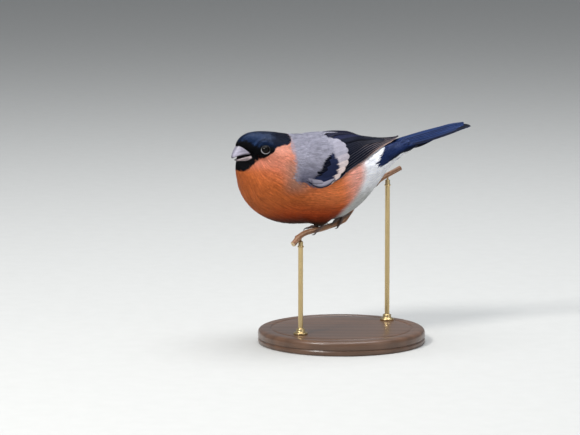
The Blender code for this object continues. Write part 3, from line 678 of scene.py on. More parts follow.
@dataclass(frozen=True)
class Markings:
    """Borders of the colour fields, seen from the side, and the colour inside each."""

    pose: Pose = Pose()
    # cap, lores and bib, in the head's own frame
    black: tuple = ((-64, 64), (-23.5, 64), (-24, 57.5), (-25.8, 54.2), (-28.2, 52.2), (-32.2, 51.5),
                    (-35.2, 50.7), (-37.4, 49.5), (-38.8, 47.4), (-40.2, 46.1), (-42.2, 44.4),
                    (-44.4, 43.2), (-46.4, 41.2), (-48, 39.8), (-50, 38.2), (-52.1, 36.4),
                    (-54.2, 35.3), (-57, 35.2), (-64, 35.2))
    # forehead and crown, which are glossy; the rest of the black is matt
    cap: tuple = ((-64, 64), (-20, 64), (-20, 49), (-36, 49.5), (-39.3, 50.9), (-44.6, 51.3),
                  (-47.9, 51.5), (-50, 52.8), (-51.8, 54.2), (-53.3, 55.2), (-56, 54), (-64, 53))
    # the rest in the bird frame
    grey: tuple = ((-28.5, 66), (-25.2, 55), (-24.8, 48), (-24.3, 40), (-24.6, 36), (-25.6, 31.8),
                   (-23.1, 30.2), (-19.5, 28.8), (-14, 26.6), (-8, 26), (-2, 30), (8, 36),
                   (20, 42), (28, 47), (31, 66))
    white: tuple = ((28, 70), (25, 48), (19, 40), (19.5, 34), (19.8, 29), (17.6, 23),
                    (14, 18.5), (10, 13.5), (7, 8), (4, 2), (2, -9), (99, -9), (99, 70))
    tail_black: tuple = ((40, 80), (37.6, 50), (34.1, 45.4), (31.6, 41.2), (30.6, 37.2), (33.4, 37.4),
                         (37, 38.9), (42.5, 41.4), (48.2, 44.1), (56, 46.2), (99, 60), (99, 80))
    nape_start: float = -36.0
    # height and place of the line between rose and white, and how softly they meet
    white_line: tuple = ((-9, 2), (2, 4), (8, 6.4), (11.3, 8.2), (15.8, 12), (20.2, 14.8), (25.2, 17.2),
                         (29.5, 19), (34, 19.6), (40, 19), (48, 25))
    white_blend: float = 3.0
    bib: tuple = (10.5, 5.1)            # half width and depth of its rounded lower part
    bib_top: float = 40.0
    grey_line: float = -24.7
    grey_blend: float = 1.3
    cap_colour: Colour = (0.0024, 0.0066, 0.0250)
    nape_shade_colour: Colour = (0.0022, 0.0028, 0.0085)
    lore_colour: Colour = (0.0022, 0.0022, 0.0026)
    ear_colour: Colour = (0.66, 0.290, 0.208)
    cheek_colour: Colour = (0.64, 0.235, 0.150)
    throat_colour: Colour = (0.83, 0.298, 0.222)
    breast_colour: Colour = (0.445, 0.110, 0.0275)
    veil_colour: Colour = (0.335, 0.190, 0.143)
    belly_and_shade_colour: Colour = (0.405, 0.042, 0.0060)
    underside_shade_colour: Colour = (0.017, 0.0045, 0.0008)
    flank_colour: Colour = (0.83, 0.240, 0.077)
    hind_colour: Colour = (0.86, 0.42, 0.34)
    mantle_colour: Colour = (0.290, 0.285, 0.350)
    # painted shade of the grey low over the shoulder
    shoulder_shade_colour: Colour = (0.092, 0.090, 0.142)
    pale_grey: Colour = (0.295, 0.282, 0.335)
    white_colour: Colour = (0.95, 0.96, 1)
    shaded_white: Colour = (0.57, 0.58, 0.57)
    covert_colour: Colour = (0.0112, 0.0215, 0.076)
    low_covert_colour: Colour = (0.0030, 0.0040, 0.0095)

    def zone(self, p: Array, frayed: Array) -> Array:
        """Colour field of each place.

        Args:
            p: Places in the bird frame.
            frayed: Small shifts in millimetres that fray the borders.

        Returns:
            The number of each place's zone.
        """
        h = self.pose.to_head(p)
        x, z = p[..., 0] + frayed, p[..., 2] + 0.6 * frayed
        found = np.full(x.shape, Zone.ROSE.value)
        found[inside(x, z, self.grey)] = Zone.GREY.value
        found[inside(x, z, self.white)] = Zone.WHITE.value
        found[inside(x, z, self.tail_black)] = Zone.TAIL_COVERTS.value
        fine = 0.40 * frayed
        black = inside(h[..., 0] + fine, h[..., 2] + fine, self.black)
        width, depth = self.bib
        low = np.maximum(self.bib_top - h[..., 2] - fine, 0)
        black &= (low <= 0) | ((np.abs(h[..., 1]) / width) ** 3 + (low / depth) ** 3 < 1)
        found[black] = Zone.LORES.value
        cap = black & inside(h[..., 0] + fine, h[..., 2] + frayed, self.cap)
        found[cap] = Zone.CAP.value
        found[cap & (h[..., 0] + 2.5 * frayed - 0.6 * (h[..., 2] - 55) > self.nape_start)] = Zone.NAPE.value
        return found

    def colour(self, p: Array, zone: Array) -> Array:
        """Colour of each place in its zone.

        Args:
            p: Places in the bird frame.
            zone: The number of each place's zone.

        Returns:
            One linear colour for each place.
        """
        # every span below is in millimetres, x and z in the bird frame, hx and hz in the head's own
        h = self.pose.to_head(p)
        x, z = p[..., 0:1], p[..., 2:3]
        hx, hz = h[..., 0:1], h[..., 2:3]
        # throat to breast, cheek, pale veil, flank, belly deepening downwards with painted shade, underside
        # in painted shade, and hind edge
        rose = mixed(self.throat_colour, self.breast_colour, eased(-(z + 0.35 * x), -48, -14))
        cheek = eased(hz, 35, 43) * (1 - eased(hx, -26, -14))
        rose = mixed(rose, mixed(self.cheek_colour, self.ear_colour, eased(hz, 43, 50)), cheek)
        rose = mixed(rose, self.veil_colour, 0.75 * eased(x, -36, -26) * (1 - eased(x, -22, -12))
                     * eased(z, 20, 29) * (1 - eased(z, 38, 46)))
        rose = mixed(rose, self.flank_colour, eased(x, -26, 2) * eased(z, 8, 24))
        # the belly's own deeper red, darkened further low down with painted shade
        rose = mixed(rose, self.belly_and_shade_colour, (1 - eased(z, 2, 21)) * eased(x, -50, -24))
        # painted shade: the underside is near black where it lies in shadow
        rose = mixed(rose, self.underside_shade_colour, 1 - eased(z, 1.5, 11.5))
        rose = mixed(rose, self.hind_colour, eased(x + 0.25 * (z - 20), 4, 18))
        # mantle, darker lower down over the shoulder with painted shade, and lighter towards the rump
        grey = mixed(self.mantle_colour, self.shoulder_shade_colour,
                     (1 - eased(z + 0.10 * x, 26, 44)) * eased(x, -27, -21))
        grey = mixed(grey, self.pale_grey, eased(x, -2, 10) * eased(z, 32, 40))
        # painted light: the cap's blue is partly painted sheen on the crown, and the cap darkens with
        # painted shade towards the nape
        cap = mixed(self.cap_colour, self.nape_shade_colour, eased(hx - 0.6 * (hz - 55), -44, -32))
        lores = np.broadcast_to(np.array(self.lore_colour), rose.shape)
        white = mixed(self.white_colour, self.shaded_white, 1 - eased(z, 16, 29))
        # rose and white run into each other along one line, rose and grey along another
        beyond = x - np.interp(z, *np.array(self.white_line).T)
        share = eased(beyond, -self.white_blend, self.white_blend)
        rose, white = (mixed(rose, white, share * (beyond < self.white_blend)),
                       mixed(rose, white, np.maximum(share, 0.35)))
        share = 0.28 * eased(np.abs(x - self.grey_line), self.grey_blend, 0) * eased(z, 30, 34)
        rose, grey = mixed(rose, grey, share), mixed(grey, rose, share)
        # tail coverts darken towards their lower edge, a sloping line
        above = z - 37.4 - 0.46 * (x - 33.4)
        coverts = mixed(self.covert_colour, self.low_covert_colour,
                        (1 - eased(above, 0.3, 2.8)) * eased(x, 36, 42))
        fields = np.stack([cap, rose, grey, white, coverts, lores, cap])
        return np.take_along_axis(fields, zone[None, ..., None], axis=0)[0]


# --- contour feathers ---

@dataclass(frozen=True)
class FeatherCut:
    """How one contour feather is cut into slender barb strips."""

    strips: int = 15
    corners: int = 7                # of one strip
    levels: tuple[float, float] = (0.40, 0.74)      # where a strip's two widest places lie
    fullness: float = 0.62          # below one spreads the barbs early
    tip_rounding: float = 0.26
    strip_share: float = 1.30       # strip's width over its share of the feather's width
    roll: float = 0.12
    raggedness: float = 0.08        # unevenness of the strips' lengths
    feather_tilt: float = 0.048     # how unevenly whole feathers catch the light
    strip_tilt: float = 0.15
    bow: float = 0.10               # how rounded each feather shades
    length_span: Span = (0.86, 1.14)        # shortest and longest over the usual length
    width_span: Span = (0.9, 1.1)
    lean: float = 0.10              # how unevenly feathers lean out of the coat's lie, radians
    root_sink: float = 1.15         # depth of a root over the skin's depth
    tip_depth: Span = (0.02, 0.035)         # depth of the tips and its unevenness, mm
    dish: float = 0.045             # how far a feather's sides curve down, over its width

    def strip_faces(self) -> tuple[Array, Array]:
        """Faces of one strip: two quads and the triangle at its tip."""
        return np.array([[0, 2, 3, 1], [2, 4, 5, 3]]), np.array([[4, 6, 5]])


@dataclass(frozen=True)
class Feathers:
    """A set of contour feathers laid over a surface, still as separate barb strips."""

    points: Array       # by feather, strip and corner
    normals: Array      # shading normals of the points
    middles: Array      # the strips' middle lines, by feather, strip and level
    roots: Array        # each feather's place on the unwrapped skin
    local: Array        # place of each corner inside a feather, from -0.5 to 0.5
    lie: Array          # row and turn of each strip


@dataclass
class Coat:
    """Contour feathers over one surface: where they stand, how long they are and how they lie."""

    surface: Surface
    markings: Markings
    seed: int
    cut: FeatherCut = FeatherCut()
    length_keys: tuple = ((-1, 1.25), (-0.7, 1.7), (-0.35, 2.4), (0, 2.9), (0.12, 3.9), (0.25, 5),
                          (0.45, 6), (0.70, 6.8), (0.96, 7.6), (1.6, 8.4))
    width_share: float = 0.60
    spacing_share: float = 0.235
    depth_share: float = 0.15
    tries: float = 3.2              # roots tried for each that could stand
    closeness: float = 0.86         # least gap over the usual one

    def lengths(self, station: Array) -> Array:
        """Feather length at each station."""
        return SmoothLine.through(self.length_keys)(station)

    def skin_depth(self) -> Array:
        """Depth of the skin under the feather tips, on the surface's own grid."""
        depth = self.depth_share * self.lengths(self.surface.stations)[:, None] + 0.10
        return np.broadcast_to(depth, (self.surface.rows, self.surface.columns))

    def scatter(self, weight: Array) -> tuple[Array, Array]:
        """Evenly spread feather roots.

        Args:
            weight: Grid of 0 where no feather roots, 1 where they stand.

        Returns:
            Rows and turns of the roots.
        """
        rng = np.random.default_rng(self.seed)
        s = self.surface
        spacing = self.spacing_share * self.lengths(s.stations)
        area = s.row_step * s.turn_step * 360 / s.columns
        chance = (weight * area / spacing[:, None] ** 2)[:-1].ravel()
        tries = int(chance.sum() * self.tries)
        cells = rng.choice(len(chance), size=tries, p=chance / chance.sum())
        rows = cells // s.columns + rng.random(tries)
        turns = (cells % s.columns + rng.random(tries)) * 360 / s.columns
        places = s.place(rows, turns, np.zeros(tries))
        gaps = self.spacing_share * self.lengths(np.interp(rows, np.arange(s.rows), s.stations))
        size = float(gaps.max())
        buckets: dict[tuple[int, int, int], list[tuple[float, float, float]]] = {}
        kept = []
        steps = [(i, j, m) for i in (-1, 0, 1) for j in (-1, 0, 1) for m in (-1, 0, 1)]
        for k, ((px, py, pz), gap) in enumerate(zip(places.tolist(), (gaps * self.closeness).tolist())):
            a, b, c = int(px // size), int(py // size), int(pz // size)
            limit = gap * gap
            if not any((x - px) ** 2 + (y - py) ** 2 + (z - pz) ** 2 < limit
                       for i, j, m in steps for x, y, z in buckets.get((a + i, b + j, c + m), ())):
                buckets.setdefault((a, b, c), []).append((px, py, pz))
                kept.append(k)
        return rows[kept], turns[kept]

    def grow(self, rows: Array, turns: Array) -> Feathers:
        """Grow one feather at each root.

        Args:
            rows: Row of each root.
            turns: Turn of each root in degrees.

        Returns:
            The feathers.
        """
        rng = np.random.default_rng(self.seed + 1)
        s, cut = self.surface, self.cut
        count = len(rows)
        station = np.interp(rows, np.arange(s.rows), s.stations)
        upper = np.abs((turns + 180) % 360 - 180) < 88
        length = self.lengths(station) * rng.uniform(*cut.length_span, count)
        length *= 1 - 0.42 * eased(station, 0.80, 0.95) * upper     # short coverts over the tail
        width = length * self.width_share * rng.uniform(*cut.width_span, count)
        lean = rng.normal(0, cut.lean, count)
        row_step = s.read(s.row_step, rows, turns)
        ahead = rows + 0.5 * length * np.cos(lean) / row_step
        row_step = 0.5 * (row_step + s.read(s.row_step, ahead, turns))
        turn_step = np.maximum(s.read(s.turn_step, ahead, turns), 0.02)

        # q is each strip's place across its feather, u and side its corners along and across it
        q = np.linspace(-1, 1, cut.strips)[None, :] + rng.normal(0, 0.05, (count, cut.strips))
        reach = 1 - cut.tip_rounding * q ** 2 + rng.normal(0, cut.raggedness, q.shape)
        half = 0.5 * cut.strip_share / cut.strips
        u = np.array([0, 0, cut.levels[0], cut.levels[0], cut.levels[1], cut.levels[1], 1])
        side = np.array([-0.8, 0.8, -1, 1, -0.8, 0.8, 0]) * half
        spread = u ** cut.fullness * (1 - 0.10 * u * u)
        along = u * reach[..., None] * length[:, None, None]
        across = (0.5 * q[..., None] * spread + side) * width[:, None, None]
        cos, sin = np.cos(lean)[:, None, None], np.sin(lean)[:, None, None]
        row = rows[:, None, None] + (along * cos - across * sin) / row_step[:, None, None]
        turn = turns[:, None, None] + (along * sin + across * cos) / turn_step[:, None, None]
        # deep at the root and shallow at the tip
        root_depth = self.depth_share * length * cut.root_sink
        tip_depth = rng.normal(*cut.tip_depth, (count, cut.strips))
        roll = rng.normal(0, cut.roll, (count, cut.strips))
        fall = u ** 0.85
        depth = (root_depth[:, None, None] * (1 - fall) + tip_depth[..., None] * fall
                 + cut.dish * width[:, None, None] * (q[..., None] ** 2) * fall
                 + roll[..., None] * side * width[:, None, None])
        points = s.place(row, turn, depth)
        ahead = unit(points[:, :, 6:] - 0.5 * (points[:, :, :1] + points[:, :, 1:2]))
        out = unit(s.read(s.normals, row, turn))
        beside = np.cross(ahead, out)
        # shading normals are the surface's own, tilted a little by feather and by strip
        whole, single = (count, 1, 1, 1), (count, cut.strips, 1, 1)
        lean_side = (rng.normal(0, cut.feather_tilt, whole) + rng.normal(0, cut.strip_tilt, single)
                     - cut.bow * q[..., None, None])
        lean_on = (rng.normal(0.03, cut.feather_tilt, whole)
                   + rng.normal(0, 0.5 * cut.strip_tilt, single))
        normals = unit(out + lean_side * beside + (lean_on + cut.bow * (u[:, None] - 0.4)) * ahead)
        middles = 0.5 * (points[:, :, [0, 2, 4, 6]] + points[:, :, [1, 3, 5, 6]])
        local = np.stack([np.broadcast_to(0.5 * q[..., None] * 0.9 + side, along.shape),
                          np.broadcast_to(u - 0.5, along.shape)], -1)
        lie = np.stack([row[..., 4], turn[..., 4]], -1)
        return Feathers(points, normals, middles, s.map_place(rows, turns), local, lie)


class NodeBench:
    """Short hand for building a material's nodes."""

    def __init__(self, name: str) -> None:
        """Start a material with one Principled shader.

        Args:
            name: The material's name.
        """
        self.material = bpy.data.materials.new(name)
        self.material.use_nodes = True
        self.tree = self.material.node_tree
        self.shader = self.tree.nodes["Principled BSDF"]

    def node(self, kind: str, values: dict | None = None, **settings: object) -> Node:
        """Add a node.

        Args:
            kind: The node's type.
            values: Input values by name.
            settings: Properties of the node by name.

        Returns:
            The new node.
        """
        made = self.tree.nodes.new(kind)
        for key, value in settings.items():
            setattr(made, key, value)
        for key, value in (values or {}).items():
            made.inputs[key].default_value = value
        return made

    def link(self, source: Node, output: str, target: Node, name: str | int) -> None:
        """Join an output of one node to an input of another."""
        self.tree.links.new(source.outputs[output], target.inputs[name])

    def set(self, values: dict) -> None:
        """Set plain values on the shader."""
        for key, value in values.items():
            self.shader.inputs[key].default_value = value

    def noise(self, source: Node, output: str, scale: float, detail: float, roughness: float,
              **more: float) -> Node:
        """Noise read at the places that a node gives out.

        Args:
            source: Node that gives the places.
            output: Name of its output.
            scale: Lumps in a metre.
            detail: Number of finer layers.
            roughness: Strength of the finer layers.
            more: Other input values by name.

        Returns:
            The noise node.
        """
        made = self.node("ShaderNodeTexNoise", values={"Scale": scale, "Detail": detail,
                                                       "Roughness": roughness, **more})
        self.link(source, output, made, "Vector")
        return made

    def stretched(self, source: Node, output: str, share: Point) -> Node:
        """Places multiplied along each axis.

        Args:
            source: Node that gives the places.
            output: Name of its output.
            share: Factor along each axis.

        Returns:
            The node that gives the new places.
        """
        made = self.node("ShaderNodeVectorMath", operation="MULTIPLY")
        made.inputs[1].default_value = share
        self.link(source, output, made, 0)
        return made

    def total(self, first: Node, second: Node) -> Node:
        """Sum of two noises.

        Args:
            first: One noise node.
            second: The other.

        Returns:
            The node that adds them.
        """
        made = self.node("ShaderNodeMath", operation="ADD")
        self.link(first, "Fac", made, 0)
        self.link(second, "Fac", made, 1)
        return made

    def spread(self, source: Node, output: str, given: Span, wanted: Span) -> Node:
        """A value carried over from the span it has to the one that is wanted.

        Args:
            source: Node that gives the value.
            output: Name of its output.
            given: Span of the value.
            wanted: Span to carry it to.

        Returns:
            The node that carries it over.
        """
        made = self.node("ShaderNodeMapRange", values={"From Min": given[0], "From Max": given[1],
                                                       "To Min": wanted[0], "To Max": wanted[1]})
        self.link(source, output, made, "Value")
        return made

    def tinted(self, source: Node, given: Span, wanted: Span) -> None:
        """Colour from the mesh's tint, made darker and lighter by a value.

        Args:
            source: Node that gives the value.
            given: Span of the value.
            wanted: Span of the brightness.
        """
        shade = self.node("ShaderNodeVectorMath", operation="SCALE")
        self.link(self.node("ShaderNodeAttribute", attribute_name=TINT), "Color", shade, 0)
        self.link(self.spread(source, "Value", given, wanted), "Result", shade, "Scale")
        self.link(shade, "Vector", self.shader, "Base Color")

    def relief(self, source: Node, strength: float, distance: float = FINE_RELIEF) -> None:
        """Fine relief from a noise.

        Args:
            source: The noise node.
            strength: Strength of the relief.
            distance: Its height in metres.
        """
        made = self.node("ShaderNodeBump", values={"Strength": strength, "Distance": distance})
        self.link(source, "Fac", made, "Height")
        self.link(made, "Normal", self.shader, "Normal")

    def roughened(self, source: Node, low: float, high: float) -> None:
        """Roughness that wanders between two values with a noise."""
        self.link(self.spread(source, "Fac", (0.3, 0.7), (low, high)), "Result", self.shader, "Roughness")


@dataclass(frozen=True)
class PlumageFinish:
    """Finish of one field of feathers; the colour itself comes from the tint on the mesh."""

    name: str
    roughness: float
    gloss: float
    gloss_tint: Colour
    sheen: float
    sheen_tint: Colour
    variation: float = 0.16
    bump: float = 0.25

    def make(self) -> Material:
        """Build the material: tint broken up by two noises, with fine barb relief.

        Returns:
            The material.
        """
        bench = NodeBench(self.name)
        place = bench.node("ShaderNodeTexCoord")
        patch = bench.noise(place, "Object", 260, 3, 0.6)
        fine = bench.noise(place, "Object", 1900, 2, 0.7)
        bench.tinted(bench.total(patch, fine), NOISE_SUM, (1 - self.variation, 1 + self.variation))
        bench.relief(fine, self.bump)
        bench.set({"Roughness": self.roughness, "Specular IOR Level": self.gloss,
                   "Specular Tint": (*self.gloss_tint, 1), "Sheen Weight": self.sheen,
                   "Sheen Roughness": 0.45, "Sheen Tint": (*self.sheen_tint, 1)})
        return bench.material


FINISHES = {
    Zone.CAP: PlumageFinish("cap_plumage", 0.34, 0.42, (0.20, 0.42, 1), 0, (0.4, 0.6, 1), 0.45, 0.9),
    Zone.NAPE: PlumageFinish("nape_plumage", 0.50, 0.14, (0.30, 0.48, 1), 0, (0.4, 0.6, 1), 0.40, 0.7),
    Zone.LORES: PlumageFinish("lore_plumage", 0.75, 0.10, (0.8, 0.85, 1), 0, (1, 1, 1), 0.30, 0.30),
    Zone.ROSE: PlumageFinish("rose_plumage", 0.80, 0.15, (1, 0.9, 0.85), 0.10, (1, 0.70, 0.55), 0.10, 0.30),
    Zone.GREY: PlumageFinish("grey_plumage", 0.82, 0.15, (0.9, 0.93, 1), 0.08, (0.85, 0.88, 1), 0.09, 0.30),
    Zone.WHITE: PlumageFinish("white_plumage", 0.85, 0.15, (1, 1, 1), 0.06, (1, 1, 1), 0.04, 0.25),
    Zone.TAIL_COVERTS: PlumageFinish("tail_covert_plumage", 0.42, 0.25, (0.25, 0.42, 1), 0, (0.4, 0.5, 1),
                                     0.25, 0.35),
}


# --- flight feathers ---

@dataclass(frozen=True)
class Quill:
    """One large feather: webs either side of a shaft, and its colours."""

    outer: float                    # width of the web on the wing's lower or outer side, mm
    inner: float                    # width of the other web
    colour: Colour = (0.008, 0.009, 0.016)
    edge_colour: Colour = (0.035, 0.04, 0.06)
    edge_share: float = 0.16        # part of the outer web that has the edge colour
    edge_end: Colour | None = None  # what the edge colour turns to at the tip
    tip_colour: Colour | None = None
    tip_length: float = 0.0         # length of the pale tip, mm
    tip_share: float = 0.22         # part of the length over which the tip rounds off
    root_share: float = 0.55        # width at the root over full width
    camber: float = 0.25
    shaft: float = 0.16
    slope: float = 0.0              # rise towards the outer edge, so that it lies over the next feather
    tip_shape: tuple[float, float] = (2.2, 0.5)

    def outline(self, u: Array) -> Array:
        """Width over full width along the feather.

        Args:
            u: Share along the feather, 0 at its root.

        Returns:
            Share of the full width.
        """
        grown = self.root_share + (1 - self.root_share) * eased(u, 0, 0.4)
        tip = np.clip((u - 1 + self.tip_share) / self.tip_share, 0, 1)
        return grown * np.maximum(1 - tip ** self.tip_shape[0], 0) ** self.tip_shape[1]


# from share along a feather, millimetres across and millimetres of height to points of the bird frame
Placer = Callable[[Array, Array, Array], Array]


class QuillMaker:
    """Builds large feathers as thin closed shells with a raised shaft."""

    rows: int = 30
    webs: tuple = (-1, -0.90, -0.78, -0.55, -0.25, -0.05, 0, 0.05, 0.30, 0.65, 0.9, 1)
    thickness: float = 0.10
    fray: float = 0.018             # unevenness of the webs' edges

    def __init__(self, batch: MeshBatch, cells: int, seed: int) -> None:
        """Remember where the feathers go.

        Args:
            batch: The mesh that collects them.
            cells: Number of cells along each side of the bake map.
            seed: Seed of the small differences between feathers.
        """
        self.batch = batch
        self.cells = cells
        self.rng = np.random.default_rng(seed)
        self.made = 0

    def add(self, quill: Quill, length: float, place: Placer) -> None:
        """Add one feather.

        Args:
            quill: Its shape and colours.
            length: Its length in millimetres.
            place: Function that places its points.
        """
        u = 1 - (1 - np.linspace(0, 1, self.rows)) ** 1.7
        web = np.array(self.webs)
        size = np.where(web < 0, quill.outer, quill.inner)
        outline = quill.outline(u)[:, None]
        fray = 1 + self.fray * self.rng.normal(size=(self.rows, 2)) * (outline > 0.2)
        ends = np.where(web[None, :] < 0, fray[:, :1], fray[:, 1:])
        across = web * size * outline * ends
        hump = quill.shaft * np.exp(-(web / 0.03) ** 2) * outline
        height = quill.camber * (1 - web ** 2) * outline + hump - quill.slope * across
        top = place(np.broadcast_to(u[:, None], across.shape), across, height + self.thickness)
        low = place(np.broadcast_to(u[:, None], across.shape), across, height - hump)
        grid = np.concatenate([top, low[:, ::-1]], axis=1)
        run = u[:, None] * length
        colour = self._colours(quill, web, run, length, across)
        colour = np.concatenate([colour, 0.6 * colour[:, ::-1]], axis=1)
        barbs = np.stack([across * 0.1, (run - 0.9 * np.abs(across)) * 0.1 + self.made], -1)
        barbs = np.concatenate([barbs, barbs[:, ::-1]], axis=1)
        cell = np.array([self.made % self.cells, self.made // self.cells])
        bake = np.stack(np.broadcast_arrays(0.25 * (web + 1) * 0.86 + 0.04, u[:, None] * 0.9 + 0.05), -1)
        bake = np.concatenate([bake, (bake + (0.5, 0))[:, ::-1]], axis=1)
        faces = grid_faces(self.rows, grid.shape[1])
        self.batch.add(grid, [faces], colour, {BAKE_MAP: (bake + cell) / self.cells, VANE_MAP: barbs})
        self.made += 1

    def _colours(self, quill: Quill, web: Array, run: Array, length: float,
                 across: Array) -> Array:
        """Colour of each point of a feather's upper face.

        Args:
            quill: The feather's shape and colours.
            web: Places across the webs, -1 to 1.
            run: Distance from the root in millimetres.
            length: The feather's length.
            across: Distance from the shaft in millimetres.

        Returns:
            One colour for each point.
        """
        shade = 1 + 0.08 * self.rng.normal()
        colour = np.broadcast_to(np.array(quill.colour) * shade, (self.rows, len(web), 3)).copy()
        edge = eased(-web, 1 - 1.5 * quill.edge_share, 1 - 0.7 * quill.edge_share)
        edge = np.broadcast_to(edge[None, :, None], colour.shape)
        fade = eased(run, 0.45 * length, 0.80 * length)[..., None]
        end = quill.edge_colour if quill.edge_end is None else quill.edge_end
        colour = colour * (1 - edge) + mixed(quill.edge_colour, end, fade) * edge
        if quill.tip_colour is not None:
            reach = run - (length - quill.tip_length) + 0.35 * np.abs(across)
            pale = eased(reach + 0.3 * self.rng.normal(size=reach.shape), -0.9, 0.9)[..., None]
            colour = mixed(colour, quill.tip_colour, pale)
        return colour


@dataclass(frozen=True)
class WingPlan:
    """Layout of the folded left wing by station and turn; the right one mirrors it."""

    # station: turn of upper and lower edge
    edges: tuple = ((0.245, -52, -68), (0.29, -38, -86), (0.35, -22, -94), (0.41, -12, -97),
                    (0.48, -7, -87), (0.60, -5, -74), (0.75, -5, -61), (0.88, -5, -40),
                    (0.955, -6, -21), (0.985, -10, -14))
    primary_tips: tuple = (0.945, 0.978, 0.993, 0.988, 0.955, 0.925, 0.90, 0.88, 0.86)
    primary_start: float = 0.40
    primary_rise: float = 1.25      # how far the first primary lies over the lower edge, mm
    primary_step: float = 1.38      # how much of each primary shows, mm
    highest_turn: float = -9.0
    # The rest run from station and depth to station and depth, depth being 0 at the wing's upper
    # edge and 1 at its lower edge.  Lowest and highest secondary:
    low_secondary: tuple = ((0.43, 0.76), (0.62, 0.64), (0.86, 0.46))
    high_secondary: tuple = ((0.43, 0.50), (0.62, 0.42), (0.83, 0.30))
    # each tertial from the lowest
    tertials: tuple = (((0.43, 0.43), (0.62, 0.37), (0.815, 0.27)),
                       ((0.43, 0.36), (0.60, 0.29), (0.748, 0.24)),
                       ((0.42, 0.22), (0.56, 0.14), (0.735, 0.10)))
    # tips of the greater coverts from the outermost to the innermost
    covert_tips: tuple = ((0.488, 0.955), (0.525, 0.930), (0.560, 0.885), (0.588, 0.820), (0.606, 0.730),
                          (0.613, 0.610), (0.611, 0.500), (0.592, 0.405), (0.550, 0.330))
    covert_pale: tuple = (3, 4.8, 6.1, 6.9, 8, 9.8, 12.5, 13, 13)
    # tips of the primary coverts and of the alula's feathers
    hand_tips: tuple = ((0.560, 0.985), (0.540, 0.975), (0.520, 0.968))
    alula: tuple = (((0.34, 0.955), (0.42, 0.965), (0.487, 0.975)),
                    ((0.34, 0.925), (0.38, 0.93), (0.43, 0.935)))
    # height over the body of the first root and tip in each row, and the rise to the next feather, mm
    primary_heights: Point = (0.35, 0.30, 0.05)
    secondary_heights: Point = (0.78, 0.72, 0.05)
    tertial_heights: Point = (1.06, 1.02, 0.14)
    hand_heights: Point = (0.90, 0.85, 0.06)
    covert_heights: Point = (1.20, 1.22, 0.05)
    alula_heights: Point = (1.35, 1.30, 0.15)

    def ends(self, station: Array) -> tuple[Array, Array]:
        """Turns of the wing's upper and lower edge at each station."""
        ends = SmoothLine.through(self.edges)(station)
        return ends[..., 0], ends[..., 1]

    def turn(self, station: Array, depth: Array) -> Array:
        """Turn of a place given by its station and its depth from the wing's upper edge."""
        upper, lower = self.ends(station)
        return upper + (lower - upper) * depth

    def depth(self, station: Array, turn: Array) -> Array:
        """Depth from the wing's upper edge of a place given by its station and turn."""
        upper, lower = self.ends(station)
        return (turn - upper) / (lower - upper)


